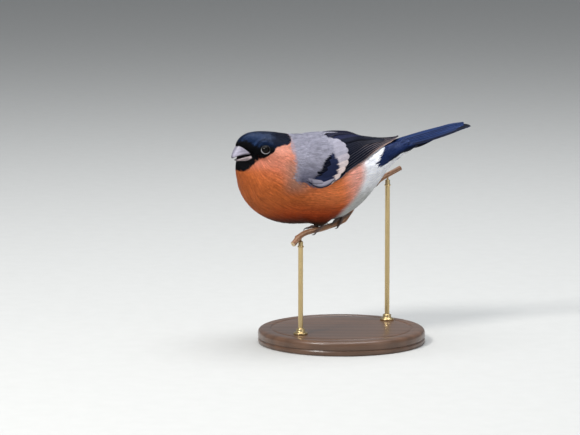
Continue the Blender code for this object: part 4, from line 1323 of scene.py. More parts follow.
@dataclass
class Wing:
    """One folded wing of large feathers laid over the body's side."""

    surface: Surface
    pose: Pose
    side: float                     # -1 left, +1 right
    plan: WingPlan = WingPlan()
    black: Colour = (0.0028, 0.0036, 0.0080)
    gloss_black: Colour = (0.0120, 0.0165, 0.043)
    pale_line: Colour = (0.054, 0.053, 0.064)
    edge_ends: tuple = ((0.40, 0.275, 0.235), (0.32, 0.225, 0.20), (0.20, 0.155, 0.15))
    bar: Colour = (0.285, 0.275, 0.325)
    low_bar: Colour = (0.60, 0.495, 0.475)
    dark_line: Colour = (0.014, 0.015, 0.023)       # edge of a secondary, and its end
    dark_end: Colour = (0.036, 0.035, 0.043)
    tertial_colours: tuple = ((0.0035, 0.0045, 0.011), (0.0070, 0.0085, 0.032), (0.0070, 0.0062, 0.020))
    tertial_edge: Colour = (0.003, 0.003, 0.005)
    hand_edge: Colour = (0.10, 0.10, 0.13)
    covert_edge: Colour = (0.02, 0.025, 0.05)
    # painted sheen: the alula's pale grey stands for light on black feathers
    alula_sheen_colour: Colour = (0.20, 0.19, 0.235)
    alula_edge: Colour = (0.008, 0.009, 0.016)
    # station and height of the heap that the upper feathers make along the back
    heap: tuple = ((0.40, 0), (0.55, 0.45), (0.64, 1.10), (0.69, 1.45), (0.73, 1), (0.765, 0.30),
                   (0.80, 0.25), (0.86, 0.80), (0.92, 1.35), (0.96, 1.8), (0.995, 2))
    samples: int = 40
    tangent_step: float = 0.02

    def _lay(self, maker: QuillMaker, quill: Quill, line: Sequence, heights: Point, k: int) -> None:
        """Lay one feather along a line of stations and depths; the rest is as in _add."""
        line = np.array(line)
        self._add(maker, quill, list(zip(line[:, 0], self.plan.turn(line[:, 0], line[:, 1]))), heights, k)

    def _add(self, maker: QuillMaker, quill: Quill, line: Sequence[Span], heights: Point, k: int) -> None:
        """Lay one feather over the body.

        Args:
            maker: Where the feather goes.
            quill: Its shape and colours.
            line: Stations and turns along its shaft.
            heights: Height of the first root and tip in its row, and the rise to the next feather.
            k: Its number in the row.
        """
        root, tip = heights[0] + heights[2] * k, heights[1] + heights[2] * k
        s = self.surface
        curve = SmoothLine.evenly(line)
        samples = curve(np.linspace(0, 1, self.samples))
        trace = s.place(s.row_of(samples[:, 0]), samples[:, 1], np.zeros(self.samples))
        length = float(np.linalg.norm(np.diff(trace, axis=0), axis=1).sum())
        step = self.tangent_step

        def place(u: Array, across: Array, height: Array) -> Array:
            """Points beside the feather's line, over the body.

            Args:
                u: Share along the feather, 0 at its root.
                across: Distance from the shaft in millimetres.
                height: Height over the feather's base.

            Returns:
                Points in the bird frame.
            """
            here = curve(u)
            ahead, behind = curve(np.minimum(u + step, 1)), curve(np.maximum(u - step, 0))
            row = s.row_of(here[..., 0])
            row_step = s.read(s.row_step, row, here[..., 1])
            turn_step = s.read(s.turn_step, row, here[..., 1])
            run = (s.row_of(ahead[..., 0]) - s.row_of(behind[..., 0])) * row_step
            climb = (ahead[..., 1] - behind[..., 1]) * turn_step
            size = np.hypot(run, climb)
            # across is positive towards the wing's upper edge
            new_row = row - across * climb / size / row_step
            new_turn = here[..., 1] + across * run / size / turn_step
            base = root + (tip - root) * u
            station = np.interp(new_row, np.arange(s.rows), s.stations)
            depth = self.plan.depth(station, new_turn)
            sunk = 0.42 + 0.58 * eased(depth, -0.05, 0.30)
            heap = self._heap(station) * (1 - eased(depth, 0.25, 0.75) * (1 - eased(station, 0.88, 0.97)))
            return s.place(new_row, -self.side * new_turn, -(base * sunk + heap + height))

        maker.add(quill, length, place)

    def _heap(self, station: Array) -> Array:
        """How far the upper feathers of the folded wing stand out along the back."""
        return SmoothLine.through(self.heap)(station)

    def _primaries(self, maker: QuillMaker) -> None:
        """Lay the nine primaries that show, the longest reaching to the wing's tip.

        Args:
            maker: Where the feathers go.
        """
        plan, s = self.plan, self.surface
        for k, tip in enumerate(plan.primary_tips):
            stations = np.linspace(plan.primary_start, tip, 8)
            lower = plan.ends(stations)[1]
            step = s.read(s.turn_step, s.row_of(stations), lower)
            narrowing = 1 - 0.62 * eased(stations, 0.7, 0.97)
            turns = lower + (plan.primary_rise + plan.primary_step * k) * narrowing / np.maximum(step, 0.1)
            quill = Quill(1.58, 5.6 - 0.15 * k, self.black, self.pale_line, 0.26 if k == 0 else 0.14,
                          self.edge_ends[min(k, 2)], tip_share=0.34, camber=0.05, shaft=0.05, slope=0.07,
                          tip_shape=(1.7, 0.8))
            line = list(zip(stations, np.minimum(turns, plan.highest_turn)))
            self._add(maker, quill, line, plan.primary_heights, k)

    def _secondaries(self, maker: QuillMaker) -> None:
        """Lay the six secondaries and, over them, the three tertials.

        Args:
            maker: Where the feathers go.
        """
        plan = self.plan
        for k, rise in enumerate(np.linspace(0, 1, 6)):
            quill = Quill(1.9, 5.2, self.black, self.dark_line, 0.14, self.dark_end, tip_share=0.13,
                          camber=0.06, shaft=0.05, slope=0.07)
            line = mixed(plan.low_secondary, plan.high_secondary, rise)
            self._lay(maker, quill, line, plan.secondary_heights, k)
        for k, line in enumerate(plan.tertials):
            quill = Quill(3.2 - 0.3 * k, 3.6 - 0.3 * k, self.tertial_colours[k], self.tertial_edge, 0.24,
                          tip_share=0.34, camber=0.34, shaft=0.10, slope=0.05)
            self._lay(maker, quill, line, plan.tertial_heights, k)

    def _coverts(self, maker: QuillMaker) -> None:
        """Lay the primary coverts, the greater coverts with the pale bar, and the alula.

        Args:
            maker: Where the feathers go.
        """
        plan = self.plan
        for k, (station, depth) in enumerate(plan.hand_tips):
            quill = Quill(1.4, 1.9, self.black, self.hand_edge, 0.25, tip_share=0.35, camber=0.25)
            start = plan.primary_start
            line = ((start, depth - 0.01), (0.5 * (start + station), depth), (station, depth))
            self._lay(maker, quill, line, plan.hand_heights, k)
        for k, (station, depth) in enumerate(plan.covert_tips):
            share = k / (len(plan.covert_tips) - 1)
            length = 0.13 + 0.02 * share
            tip = mixed(self.low_bar, self.bar, eased(share, 0.25, 0.6))
            quill = Quill(2.5, 3.3, self.gloss_black, self.covert_edge, 0.12, None, tuple(tip),
                          plan.covert_pale[k], 0.30, 0.7, 0.14, 0.06)
            line = ((station - length, depth - 0.03), (station - 0.5 * length, depth - 0.01),
                    (station, depth))
            self._lay(maker, quill, line, plan.covert_heights, k)
        for k, line in enumerate(plan.alula):
            quill = Quill(1.5, 1.7, self.alula_sheen_colour, self.alula_edge, 0.42, tip_share=0.45, camber=0.4)
            self._lay(maker, quill, line, plan.alula_heights, k)

    def build(self, finish: Material) -> bpy.types.Object:
        """Make every large feather of the wing as one piece.

        Args:
            finish: Material of the feathers.

        Returns:
            The piece.
        """
        batch = MeshBatch()
        maker = QuillMaker(batch, 7, 11 if self.side < 0 else 12)
        for lay in (self._primaries, self._secondaries, self._coverts):
            lay(maker)
        name = "left" if self.side < 0 else "right"
        return batch.build("wing_feathers_" + name, [finish], self.pose, "flight_feathers", "wing_" + name)


@dataclass
class Tail:
    """Twelve closed tail feathers, the middle pair on top."""

    form: TailForm
    pose: Pose
    places: tuple = (0.92, 0.80, 0.66, 0.50, 0.33, 0.14)
    # part of the length by which each ends early
    shorter: tuple = (-0.026, 0.043, 0.030, 0.017, 0, -0.018)
    colour: Colour = (0.0095, 0.0270, 0.100)
    edge: Colour = (0.006, 0.012, 0.042)
    # painted shade: the outer feathers, whose webs turn down, are near black
    outer_shade_colour: Colour = (0.0025, 0.0035, 0.0075)
    outer_webs: tuple = (0.9, 1.1, 1.3, 2.2, 3, 3.8)
    # share of the blue in each feather, from painted shade at 0 to painted sheen above 1; the blue itself
    # is partly the feathers' gloss and partly painted reflection
    sheen_and_shade: tuple = (0, 0.50, 1.20, 1.30, 1, 0.85)
    # levels in the tail's thickness: of the outermost pair, how much higher the middle pair lies and
    # how much higher the right feather of each pair lies
    lowest: float = -0.72
    stack: float = 1.5
    right_over: float = 0.06
    start: float = -0.14
    top_level: float = 1.15
    tip_droop: float = 1.4
    root_lift: float = 0.8
    # width over the core's by share, left side and right side
    spread: tuple = (((-0.2, 0.72), (0, 0.82), (0.4, 0.91), (0.8, 1), (1, 1)),
                     ((-0.2, 0.64), (0, 0.82), (0.16, 1.02), (0.8, 1), (1, 1)))
    # how much more the cross section arches than the tail's core, by share
    deepening: tuple = ((-0.2, 1.3), (0, 1.5), (0.22, 1.8), (0.42, 1.6), (0.66, 1.3), (0.85, 1.4), (1, 2.2))

    def build(self, finish: Material) -> bpy.types.Object:
        """Make the tail as one piece.

        Args:
            finish: Material of the feathers.

        Returns:
            The piece.
        """
        batch = MeshBatch()
        maker = QuillMaker(batch, 4, 21)
        length = self.form.axes()[3] * (1 - self.start)
        for k, centre in enumerate(self.places):
            for side in (-1, 1):
                level = (self.lowest + self.stack * k / (len(self.places) - 1)
                         + (self.right_over if side > 0 else 0))
                # each feather's colour mixes the painted shade and the painted sheen
                share = self.sheen_and_shade[k]
                colour = np.array(self.outer_shade_colour) * (1 - min(share, 1)) + np.array(self.colour) * share
                quill = Quill(self.outer_webs[k], 5.6 - 0.55 * k, tuple(colour), self.edge, 0.16,
                              tip_share=0.08, root_share=0.8, camber=0.16, shaft=0.12)
                cut = self.shorter[k] if side < 0 else max(self.shorter[k], 0)
                maker.add(quill, length, self._placer(side, centre, level, cut))
        return batch.build("tail_feathers", [finish], self.pose, "flight_feathers", "tail")

    def _placer(self, side: float, centre: float, level: float, cut: float) -> Placer:
        """Function that places points of one tail feather.

        Args:
            side: -1 left, +1 right.
            centre: Part of the tail's half width at which the shaft lies.
            level: Where the feather lies in the tail's thickness.
            cut: Part of the tail's length by which it ends early.

        Returns:
            The function.
        """
        form = self.form
        gathering = SmoothLine.through(self.spread[int(side > 0)])
        deepening = SmoothLine.through(self.deepening)

        def place(u: Array, across: Array, height: Array) -> Array:
            """Points beside the feather's shaft; across is positive towards the tail's middle.

            Args:
                u: Share along the feather, 0 at its root.
                across: Distance from the shaft in millimetres.
                height: Height over the feather's base.

            Returns:
                Points in the bird frame.
            """
            share = self.start + (1 - self.start) * u
            width = SmoothLine.evenly(form.half_width)(share)
            spot = side * (centre * gathering(share) - across / width)
            closed = 0.45 + 0.55 * eased(share, 0, 0.5)       # the feathers lie closer at their roots
            run = form.place(share - cut * u, spot, self.top_level - (self.top_level - level) * closed)
            drop = deepening(share) * spot ** 2
            drop = drop + self.tip_droop * eased(share, 0.78, 1.04) * np.maximum(1 - np.abs(spot), 0)
            drop = drop - self.root_lift * (1 - eased(share, 0.3, 0.8))
            return run + form.axes()[2] * (height - 0.15 - drop)[..., None]

        return place


@dataclass(frozen=True)
class VaneFinish:
    """Finish of large feathers: tinted webs with fine barbs."""

    name: str
    roughness: float = 0.44
    gloss: float = 0.09
    gloss_tint: Colour = (0.45, 0.52, 1)
    bump: float = 0.5
    barb_stretch: Point = (4, 60, 1)

    def make(self) -> Material:
        """Build the material: tint broken up by patches and streaks, barbs as relief.

        Returns:
            The material.
        """
        bench = NodeBench(self.name)
        vane = bench.node("ShaderNodeUVMap", uv_map=VANE_MAP)
        barbs = bench.noise(bench.stretched(vane, "UV", self.barb_stretch), "Vector", 1, 3, 0.65)
        patch = bench.noise(bench.node("ShaderNodeTexCoord"), "Object", 180, 3, 0.6)
        bench.tinted(bench.total(patch, barbs), (0.6, 1.4), (0.72, 1.3))
        bench.roughened(barbs, self.roughness - 0.08, self.roughness + 0.12)
        bench.relief(barbs, self.bump)
        bench.set({"Specular IOR Level": self.gloss, "Specular Tint": (*self.gloss_tint, 1)})
        return bench.material


# --- skin and contour feathers ---

@dataclass
class Plumage:
    """Skin, and the contour feathers over all of the bird."""

    form: BodyForm
    surface: Surface
    markings: Markings
    pose: Pose
    plan: WingPlan = WingPlan()
    wing_height: float = 2.3
    sinking: float = 0.45           # how far the feathers under the wings lie under the body's outline
    # turn and station of the line where grey feathers end over the wing
    cover_line: tuple = ((0, 0.50), (15, 0.47), (24, 0.465), (30, 0.50), (39, 0.51), (49, 0.490),
                         (57, 0.458), (66, 0.438), (78, 0.410), (88, 0.375), (98, 0.345))
    eye_opening: float = 2.66
    skin_end: float = 1.035
    streakiness: tuple = (0.24, 0.125, 0.075, 0.03, 0.16, 0.10, 0.22)      # by zone

    def left_turns(self) -> Array:
        """Turn of each column as if it were on the left side, from 0 on the back to -180 below."""
        turn = np.arange(self.surface.columns) * 360 / self.surface.columns
        return -np.abs(np.where(turn > 180, turn - 360, turn))[None, :]

    def wing_rise(self) -> Array:
        """Height over the body of the feathers that lie on the front of the folded wings.

        Returns:
            Heights by row and column.
        """
        station = self.surface.stations[:, None]
        depth = self.plan.depth(station, self.left_turns())
        return (self.wing_height * eased(depth, -0.35, 0.30) * eased(1.06 - depth, 0, 0.13)
                * eased(station, 0.19, 0.32) * (1 - eased(station, 0.62, 0.70)))

    def eye_rise(self) -> Array:
        """Height over the body of the feathers that rise to the lids round the eyes.

        Returns:
            Heights by row and column.
        """
        s = self.surface
        rise = np.zeros(s.points.shape[:2])
        for eye in EYES:
            level, off = eye.reach(self.pose, s.points)
            missing = (eye.lid_level - 0.15 - level) * (1 - eased(off, 3, 7))
            rise = np.maximum(rise, np.where(level > -4, missing, 0))
        return rise

    def tail_rise(self) -> Array:
        """Height over the body of the coverts that close round the root of the tail.

        Returns:
            Heights by row and column.
        """
        s = self.surface
        turn = full_turn(s.columns)
        near_tail = eased(s.stations, 0.94, 1)[:, None]
        above = 0.8 * np.maximum(np.cos(turn), 0)
        beside = 1.5 * np.maximum(np.sin(turn), 0) ** 2
        return near_tail * (above - beside)[None, :]

    def covers(self) -> tuple[Array, Array]:
        """Where feathers root on the wing-high surface, and where on the body under the wings.

        Returns:
            Two grids of 0 and 1.
        """
        s = self.surface
        turn = self.left_turns()
        station = s.stations[:, None]
        depth = self.plan.depth(station, turn)
        end = SmoothLine.through(self.cover_line)(-turn[0])[None, :]
        # the wing's own ground, which the coat covers only as far as the cover line
        edge = np.where(station > 0.45, 1.07, 1.02)
        within = (depth > -0.02) & (depth < edge) & (station > 0.245) & (station < 0.985)
        above = np.where(within, station < end - 0.06, True)
        # a strip behind the wing's lower edge, and the rump between the wings' rear parts
        margin = (turn - self.plan.ends(station)[1]) * s.turn_step
        under = within & (station > 0.41) & (margin < 7)
        rump = within & (station > 0.70) & (margin >= 7)
        ends = station < self.form.trunk_end + np.where(turn > -90, 0.015, 0.065)
        shown = self.markings.zone(s.points, np.zeros(s.points.shape[:2])) != Zone.GREY.value
        return (above & ends).astype(float), ((under | rump) & ends & shown).astype(float)

    def eye_rims(self) -> Array:
        """Where the short feathers round the eyes root.

        Returns:
            Grid of 0 and 1.
        """
        s = self.surface
        chosen = np.zeros(s.points.shape[:2], bool)
        for eye in EYES:
            level, off = eye.reach(self.pose, s.points)
            chosen |= (off > 2.3) & (off < self.eye_opening + 2) & (level > -1.5)
        return chosen.astype(float)

    def openings(self, middle: Array) -> Array:
        """Which strips, given by their middle lines, stay clear of the eyes and of the bill.

        Args:
            middle: Middle lines by feather, strip and level.

        Returns:
            Truth value for each strip.
        """
        h = self.pose.to_head(middle)
        clear = np.ones(middle.shape[:2], bool)
        for eye in EYES:
            level, off = eye.reach(self.pose, middle)
            clear &= ~((off < self.eye_opening) & (level > -1)).any(axis=2)
        gape = inside(h[..., 0] - 0.15, h[..., 2], self.form.gape)
        clear &= ~gape[:, :, 2]
        return clear

    def build_skin(self, coat: Coat, finish: Material) -> bpy.types.Object:
        """One skin under all the contour feathers, with the same markings.

        Args:
            coat: Coat that covers it.
            finish: Material of the skin.

        Returns:
            The piece.
        """
        s = self.surface
        last = int(np.searchsorted(s.stations, self.skin_end))
        depth = (coat.skin_depth() + 0.18)[:last]
        points = s.points[:last] - s.normals[:last] * depth[..., None]
        frayed = np.zeros(points.shape[:2])
        zone = self.markings.zone(s.points[:last], frayed)
        # painted shade: the skin is a little darker than the feathers over it
        tint = 0.80 * self.markings.colour(s.points[:last], zone)
        # one more column closes the map's seam
        points = np.concatenate([points, points[:, :1]], axis=1)
        tint = np.concatenate([tint, tint[:, :1]], axis=1)
        rows, columns = points.shape[:2]
        u = np.broadcast_to(np.linspace(0, 1, columns), (rows, columns))
        v = np.broadcast_to(s.row_share[:last, None], (rows, columns))
        places = np.stack([0.01 + 0.98 * u, 0.01 + 0.98 * v], -1)
        batch = MeshBatch()
        batch.add(points, [grid_faces(rows, columns, False)], tint, {BAKE_MAP: places})
        for row in (0, rows - 1):
            ring = points[row]
            middle = ring[:-1].mean(axis=0)
            fan = np.concatenate([ring, middle[None]])
            k = np.arange(columns - 1)
            batch.add(fan, [np.stack([k, k + 1, np.full(columns - 1, columns)], 1)],
                      np.concatenate([tint[row], tint[row][:1]]),
                      {BAKE_MAP: np.concatenate([places[row], places[row][:1]])})
        return batch.build("skin", [finish], self.pose, "rose_plumage",
                           "head", "neck", "trunk", "leg_left", "leg_right")

    def build_coat(self, finishes: dict[Zone, Material]) -> Coat:
        """Grow all contour feathers and sort them into pieces.

        Args:
            finishes: Material of each zone.

        Returns:
            The main coat, which tells the skin's depth.
        """
        above, under = self.covers()
        raised = self.surface.raised(self.wing_rise() + self.eye_rise() + self.tail_rise())
        main = Coat(raised, self.markings, 3)
        low = Coat(self.surface.raised(-self.sinking * (under > 0)), self.markings, 5)
        parts = []
        rims = Coat(raised, self.markings, 7, length_keys=((-1, 0.8), (0, 1.15), (1.6, 1.2)))
        for coat, weight in ((main, above), (low, under), (rims, self.eye_rims())):
            rows, turns = coat.scatter(weight)
            parts.append((coat, coat.grow(rows, turns)))
        batches: dict[tuple[Zone, str], MeshBatch] = {}
        for coat, feathers in parts:
            self._sort(coat, feathers, self.openings(feathers.middles), batches)
        for (zone, side), batch in batches.items():
            slot = {Zone.CAP: "black_plumage", Zone.LORES: "black_plumage", Zone.NAPE: "black_plumage",
                    Zone.TAIL_COVERTS: "flight_feathers"}.get(zone, "rose_plumage")
            batch.build("feathers_%s_%s" % (zone.name.lower(), side), [finishes[zone]], self.pose, slot)
        return main

    def streaks(self, lie: Array) -> Array:
        """Slender darker and lighter streaks that follow the lie of the coat.

        Args:
            lie: Rows and turns.

        Returns:
            Values about 0 with a spread near 1.
        """
        rng = np.random.default_rng(17)
        total = np.zeros(lie.shape[:-1])
        for rows_per_cell, cells, share in ((4, 500, 1), (7, 210, 0.55)):
            table = rng.normal(size=(64, cells))
            row = lie[..., 0] / rows_per_cell
            turn = (lie[..., 1] + 2 * np.sin(0.30 * lie[..., 0] + 0.05 * lie[..., 1])) * cells / 360
            i, j = np.floor(row).astype(int), np.floor(turn).astype(int)
            a, b = eased(row - i, 0, 1), turn - j
            i0, i1, j0, j1 = i % 64, (i + 1) % 64, j % cells, (j + 1) % cells
            total += share * ((table[i0, j0] * (1 - b) + table[i0, j1] * b) * (1 - a)
                              + (table[i1, j0] * (1 - b) + table[i1, j1] * b) * a)
        return total

    def _sort(self, coat: Coat, feathers: Feathers, clear: Array,
              batches: dict[tuple[Zone, str], MeshBatch]) -> None:
        """Colour the strips and share them out by zone and side.

        Args:
            coat: Coat that the feathers belong to.
            feathers: The feathers.
            clear: Which strips are kept.
            batches: Pieces in the making, by zone and side.
        """
        rng = np.random.default_rng(coat.seed + 2)
        tips = feathers.points[:, :, 6]
        count, strips = tips.shape[:2]
        # borders fray by whole feathers and by strips
        fray = rng.normal(0, 0.48, (count, 1)) + rng.normal(0, 0.38, (count, strips))
        zone = self.markings.zone(tips, fray)
        middles = feathers.middles
        level_zone = np.broadcast_to(zone[..., None], middles.shape[:3])
        colour = self.markings.colour(middles, level_zone)
        streak = self.streaks(feathers.lie) * np.array(self.streakiness)[zone]
        shade = np.exp(streak[..., None] + rng.normal(0, 0.04, (count, 1, 1))
                       + rng.normal(0, 0.10, (count, strips, 1)))
        # painted shade: a strip is darker at its root, where the next feathers cover it, and partly for its
        # grey down
        down_and_shade = np.array([0.64, 0.84, 1, 1.06])      # brightness of a strip from its root to its tip
        tint = colour * (shade * down_and_shade)[..., None]
        tint = tint[:, :, [0, 0, 1, 1, 2, 2, 3]]
        quads, ends = coat.cut.strip_faces()
        votes = np.stack([(zone == z.value).sum(axis=1) for z in Zone], 1)
        major = votes.argmax(axis=1)
        left = feathers.points[:, strips // 2, 0, 1] < 0
        patch = feathers.roots[:, None, None, :] + feathers.local * BAKE_PATCH
        for z in Zone:
            for side, chosen in (("left", left), ("right", ~left)):
                keep = ((major == z.value) & chosen)[:, None] & clear
                if not keep.any():
                    continue
                points = feathers.points[keep]
                start = np.arange(len(points))[:, None, None] * coat.cut.corners
                faces = [(quads[None] + start).reshape(-1, 4), (ends[None] + start).reshape(-1, 3)]
                batch = batches.setdefault((z, side), MeshBatch())
                batch.add(points, faces, tint[keep], {BAKE_MAP: patch[keep]},
                          normals=feathers.normals[keep])


# --- eyes and bill ---

@dataclass(frozen=True)
class Eye:
    """Eyeball with pupil and iris, and the lids round it."""

    name: str
    side: float
    centre: Point
    forward: float = 0.20           # how far it looks forward and up, over square sideways
    upward: float = 0.10
    radius: float = 2.9
    pupil: float = math.radians(31)
    iris: float = math.radians(47)
    lid_radius: float = 2.50
    lid_tube: float = 0.23
    lid_level: float = 1.80
    iris_colour: Colour = (0.0038, 0.0018, 0.0013)
    pupil_colour: Colour = (0.0012, 0.0012, 0.0014)
    lid_colour: Colour = (0.50, 0.50, 0.53)
    # skin between the lids and the feathers: radius and level of its closed section
    fold: tuple = ((2.50, 1.20), (2.90, 0.10), (3.20, 0.20), (3.02, 1.05), (2.78, 1.56), (2.56, 1.84))
    fold_colour: Colour = (0.0022, 0.0022, 0.0028)

    def centre_and_axis(self, pose: Pose) -> tuple[Array, Array]:
        """Middle of the eyeball and the way it looks, a little forward and up from square sideways."""
        axis = unit(np.array([-self.forward, self.side, self.upward]))
        return np.array(self.centre), spun(axis, pose.head_yaw)

    def reach(self, pose: Pose, points: Array) -> tuple[Array, Array]:
        """How far points lie along the way the eye looks, and how far off that line.

        Args:
            pose: How the bird and its head are turned.
            points: Points in the bird frame.

        Returns:
            Two arrays of distances.
        """
        centre, axis = self.centre_and_axis(pose)
        level = (points - centre) @ axis
        return level, np.linalg.norm(points - centre - level[..., None] * axis, axis=-1)

    def build(self, pose: Pose, ball: Material, lid: Material) -> None:
        """Make the eyeball and its lids.

        Args:
            pose: How the bird and its head are turned.
            ball: Material of the eyeball.
            lid: Material of the lids.
        """
        centre, axis = self.centre_and_axis(pose)
        across = unit(np.cross(axis, (0, 0, 1)))
        up = np.cross(across, axis)
        eyeball = self._ball(centre, axis, across, up)
        eyeball.build("eyeball_" + self.name, [ball], pose, "eye", "eye_" + self.name)
        lids = self._lids(centre, axis, across, up)
        lids.build("eyelids_" + self.name, [lid], pose, "leg_skin")

    def _ball(self, centre: Array, axis: Array, across: Array, up: Array) -> MeshBatch:
        """Eyeball, a little more bulging over the pupil, with a grained iris.

        Args:
            centre: Middle of the eyeball.
            axis: Way the eye looks.
            across: Direction along the head.
            up: Direction up the head.

        Returns:
            The eyeball's mesh.
        """
        turn = full_turn(48)[None, :]
        ring = np.cos(turn)[..., None] * across + np.sin(turn)[..., None] * up
        angle = np.concatenate([np.linspace(0.01, 1.2, 30), np.linspace(1.3, math.pi - 0.01, 14)])[:, None]
        bulge = 1 + 0.035 * np.exp(-(angle / 0.55) ** 2)
        ball_points = centre + self.radius * bulge[..., None] * (
            np.cos(angle)[..., None] * axis + np.sin(angle)[..., None] * ring)
        edge = eased(angle, self.pupil - 0.03, self.pupil + 0.03)
        rim = eased(angle, self.iris - 0.06, self.iris + 0.04)
        grain = 1 + 0.35 * np.sin(turn * 23 + 3 * np.sin(turn * 5))
        iris = np.array(self.iris_colour) * (grain * (1 - 0.8 * rim))[..., None]
        batch = MeshBatch()
        batch.add(ball_points, [grid_faces(len(angle), 48)],
                  mixed(self.pupil_colour, iris, edge[..., None]))
        return batch

    def _lids(self, centre: Array, axis: Array, across: Array, up: Array) -> MeshBatch:
        """Beaded ring of the lids, with the dark fold of skin between it and the feathers.

        Args:
            centre: Middle of the eyeball.
            axis: Way the eye looks.
            across: Direction along the head.
            up: Direction up the head.

        Returns:
            The mesh of lids and fold.
        """
        around = full_turn(96)[:, None]
        tube = full_turn(18)[None, :]
        beads = 1 + 0.09 * np.sin(around * 34) * np.maximum(np.sin(tube + 0.6), 0)
        heavy = 1 + 0.22 * np.sin(around) ** 2 * (np.sin(around) > 0)
        size = self.lid_tube * beads * heavy
        radius = self.lid_radius + size * np.cos(tube)
        level = self.lid_level + 0.75 * size * np.sin(tube)
        out = 1.07 * np.cos(around)[..., None] * across + 0.95 * np.sin(around)[..., None] * up
        lids = centre + level[..., None] * axis + radius[..., None] * out
        # painted light: the ring is pale on its lower side and dark above, in painted shade
        lit_lower_side = 0.05 + 0.95 * eased(-np.sin(around - 0.35), -0.25, 0.75)
        inner = eased(-np.cos(tube), 0.2, 0.9)
        shade = (lit_lower_side * (1 - 0.85 * inner) * (0.85 + 0.15 * np.sin(around * 34)))[..., None]
        batch = MeshBatch()
        batch.add(lids, [grid_faces(96, 18, looped=True)], np.array(self.lid_colour) * shade)
        fold = np.array(self.fold)
        rough = 1 + 0.012 * np.sin(around * 41)
        folds = centre + fold[None, :, 1:] * axis + (fold[None, :, 0] * rough)[..., None] * out
        batch.add(folds, [grid_faces(96, len(fold), looped=True)], self.fold_colour)
        return batch


EYES = (Eye("left", -1.0, (-41.31, -11.64, 49.0)), Eye("right", 1.0, (-43.95, 9.93, 49.0)))


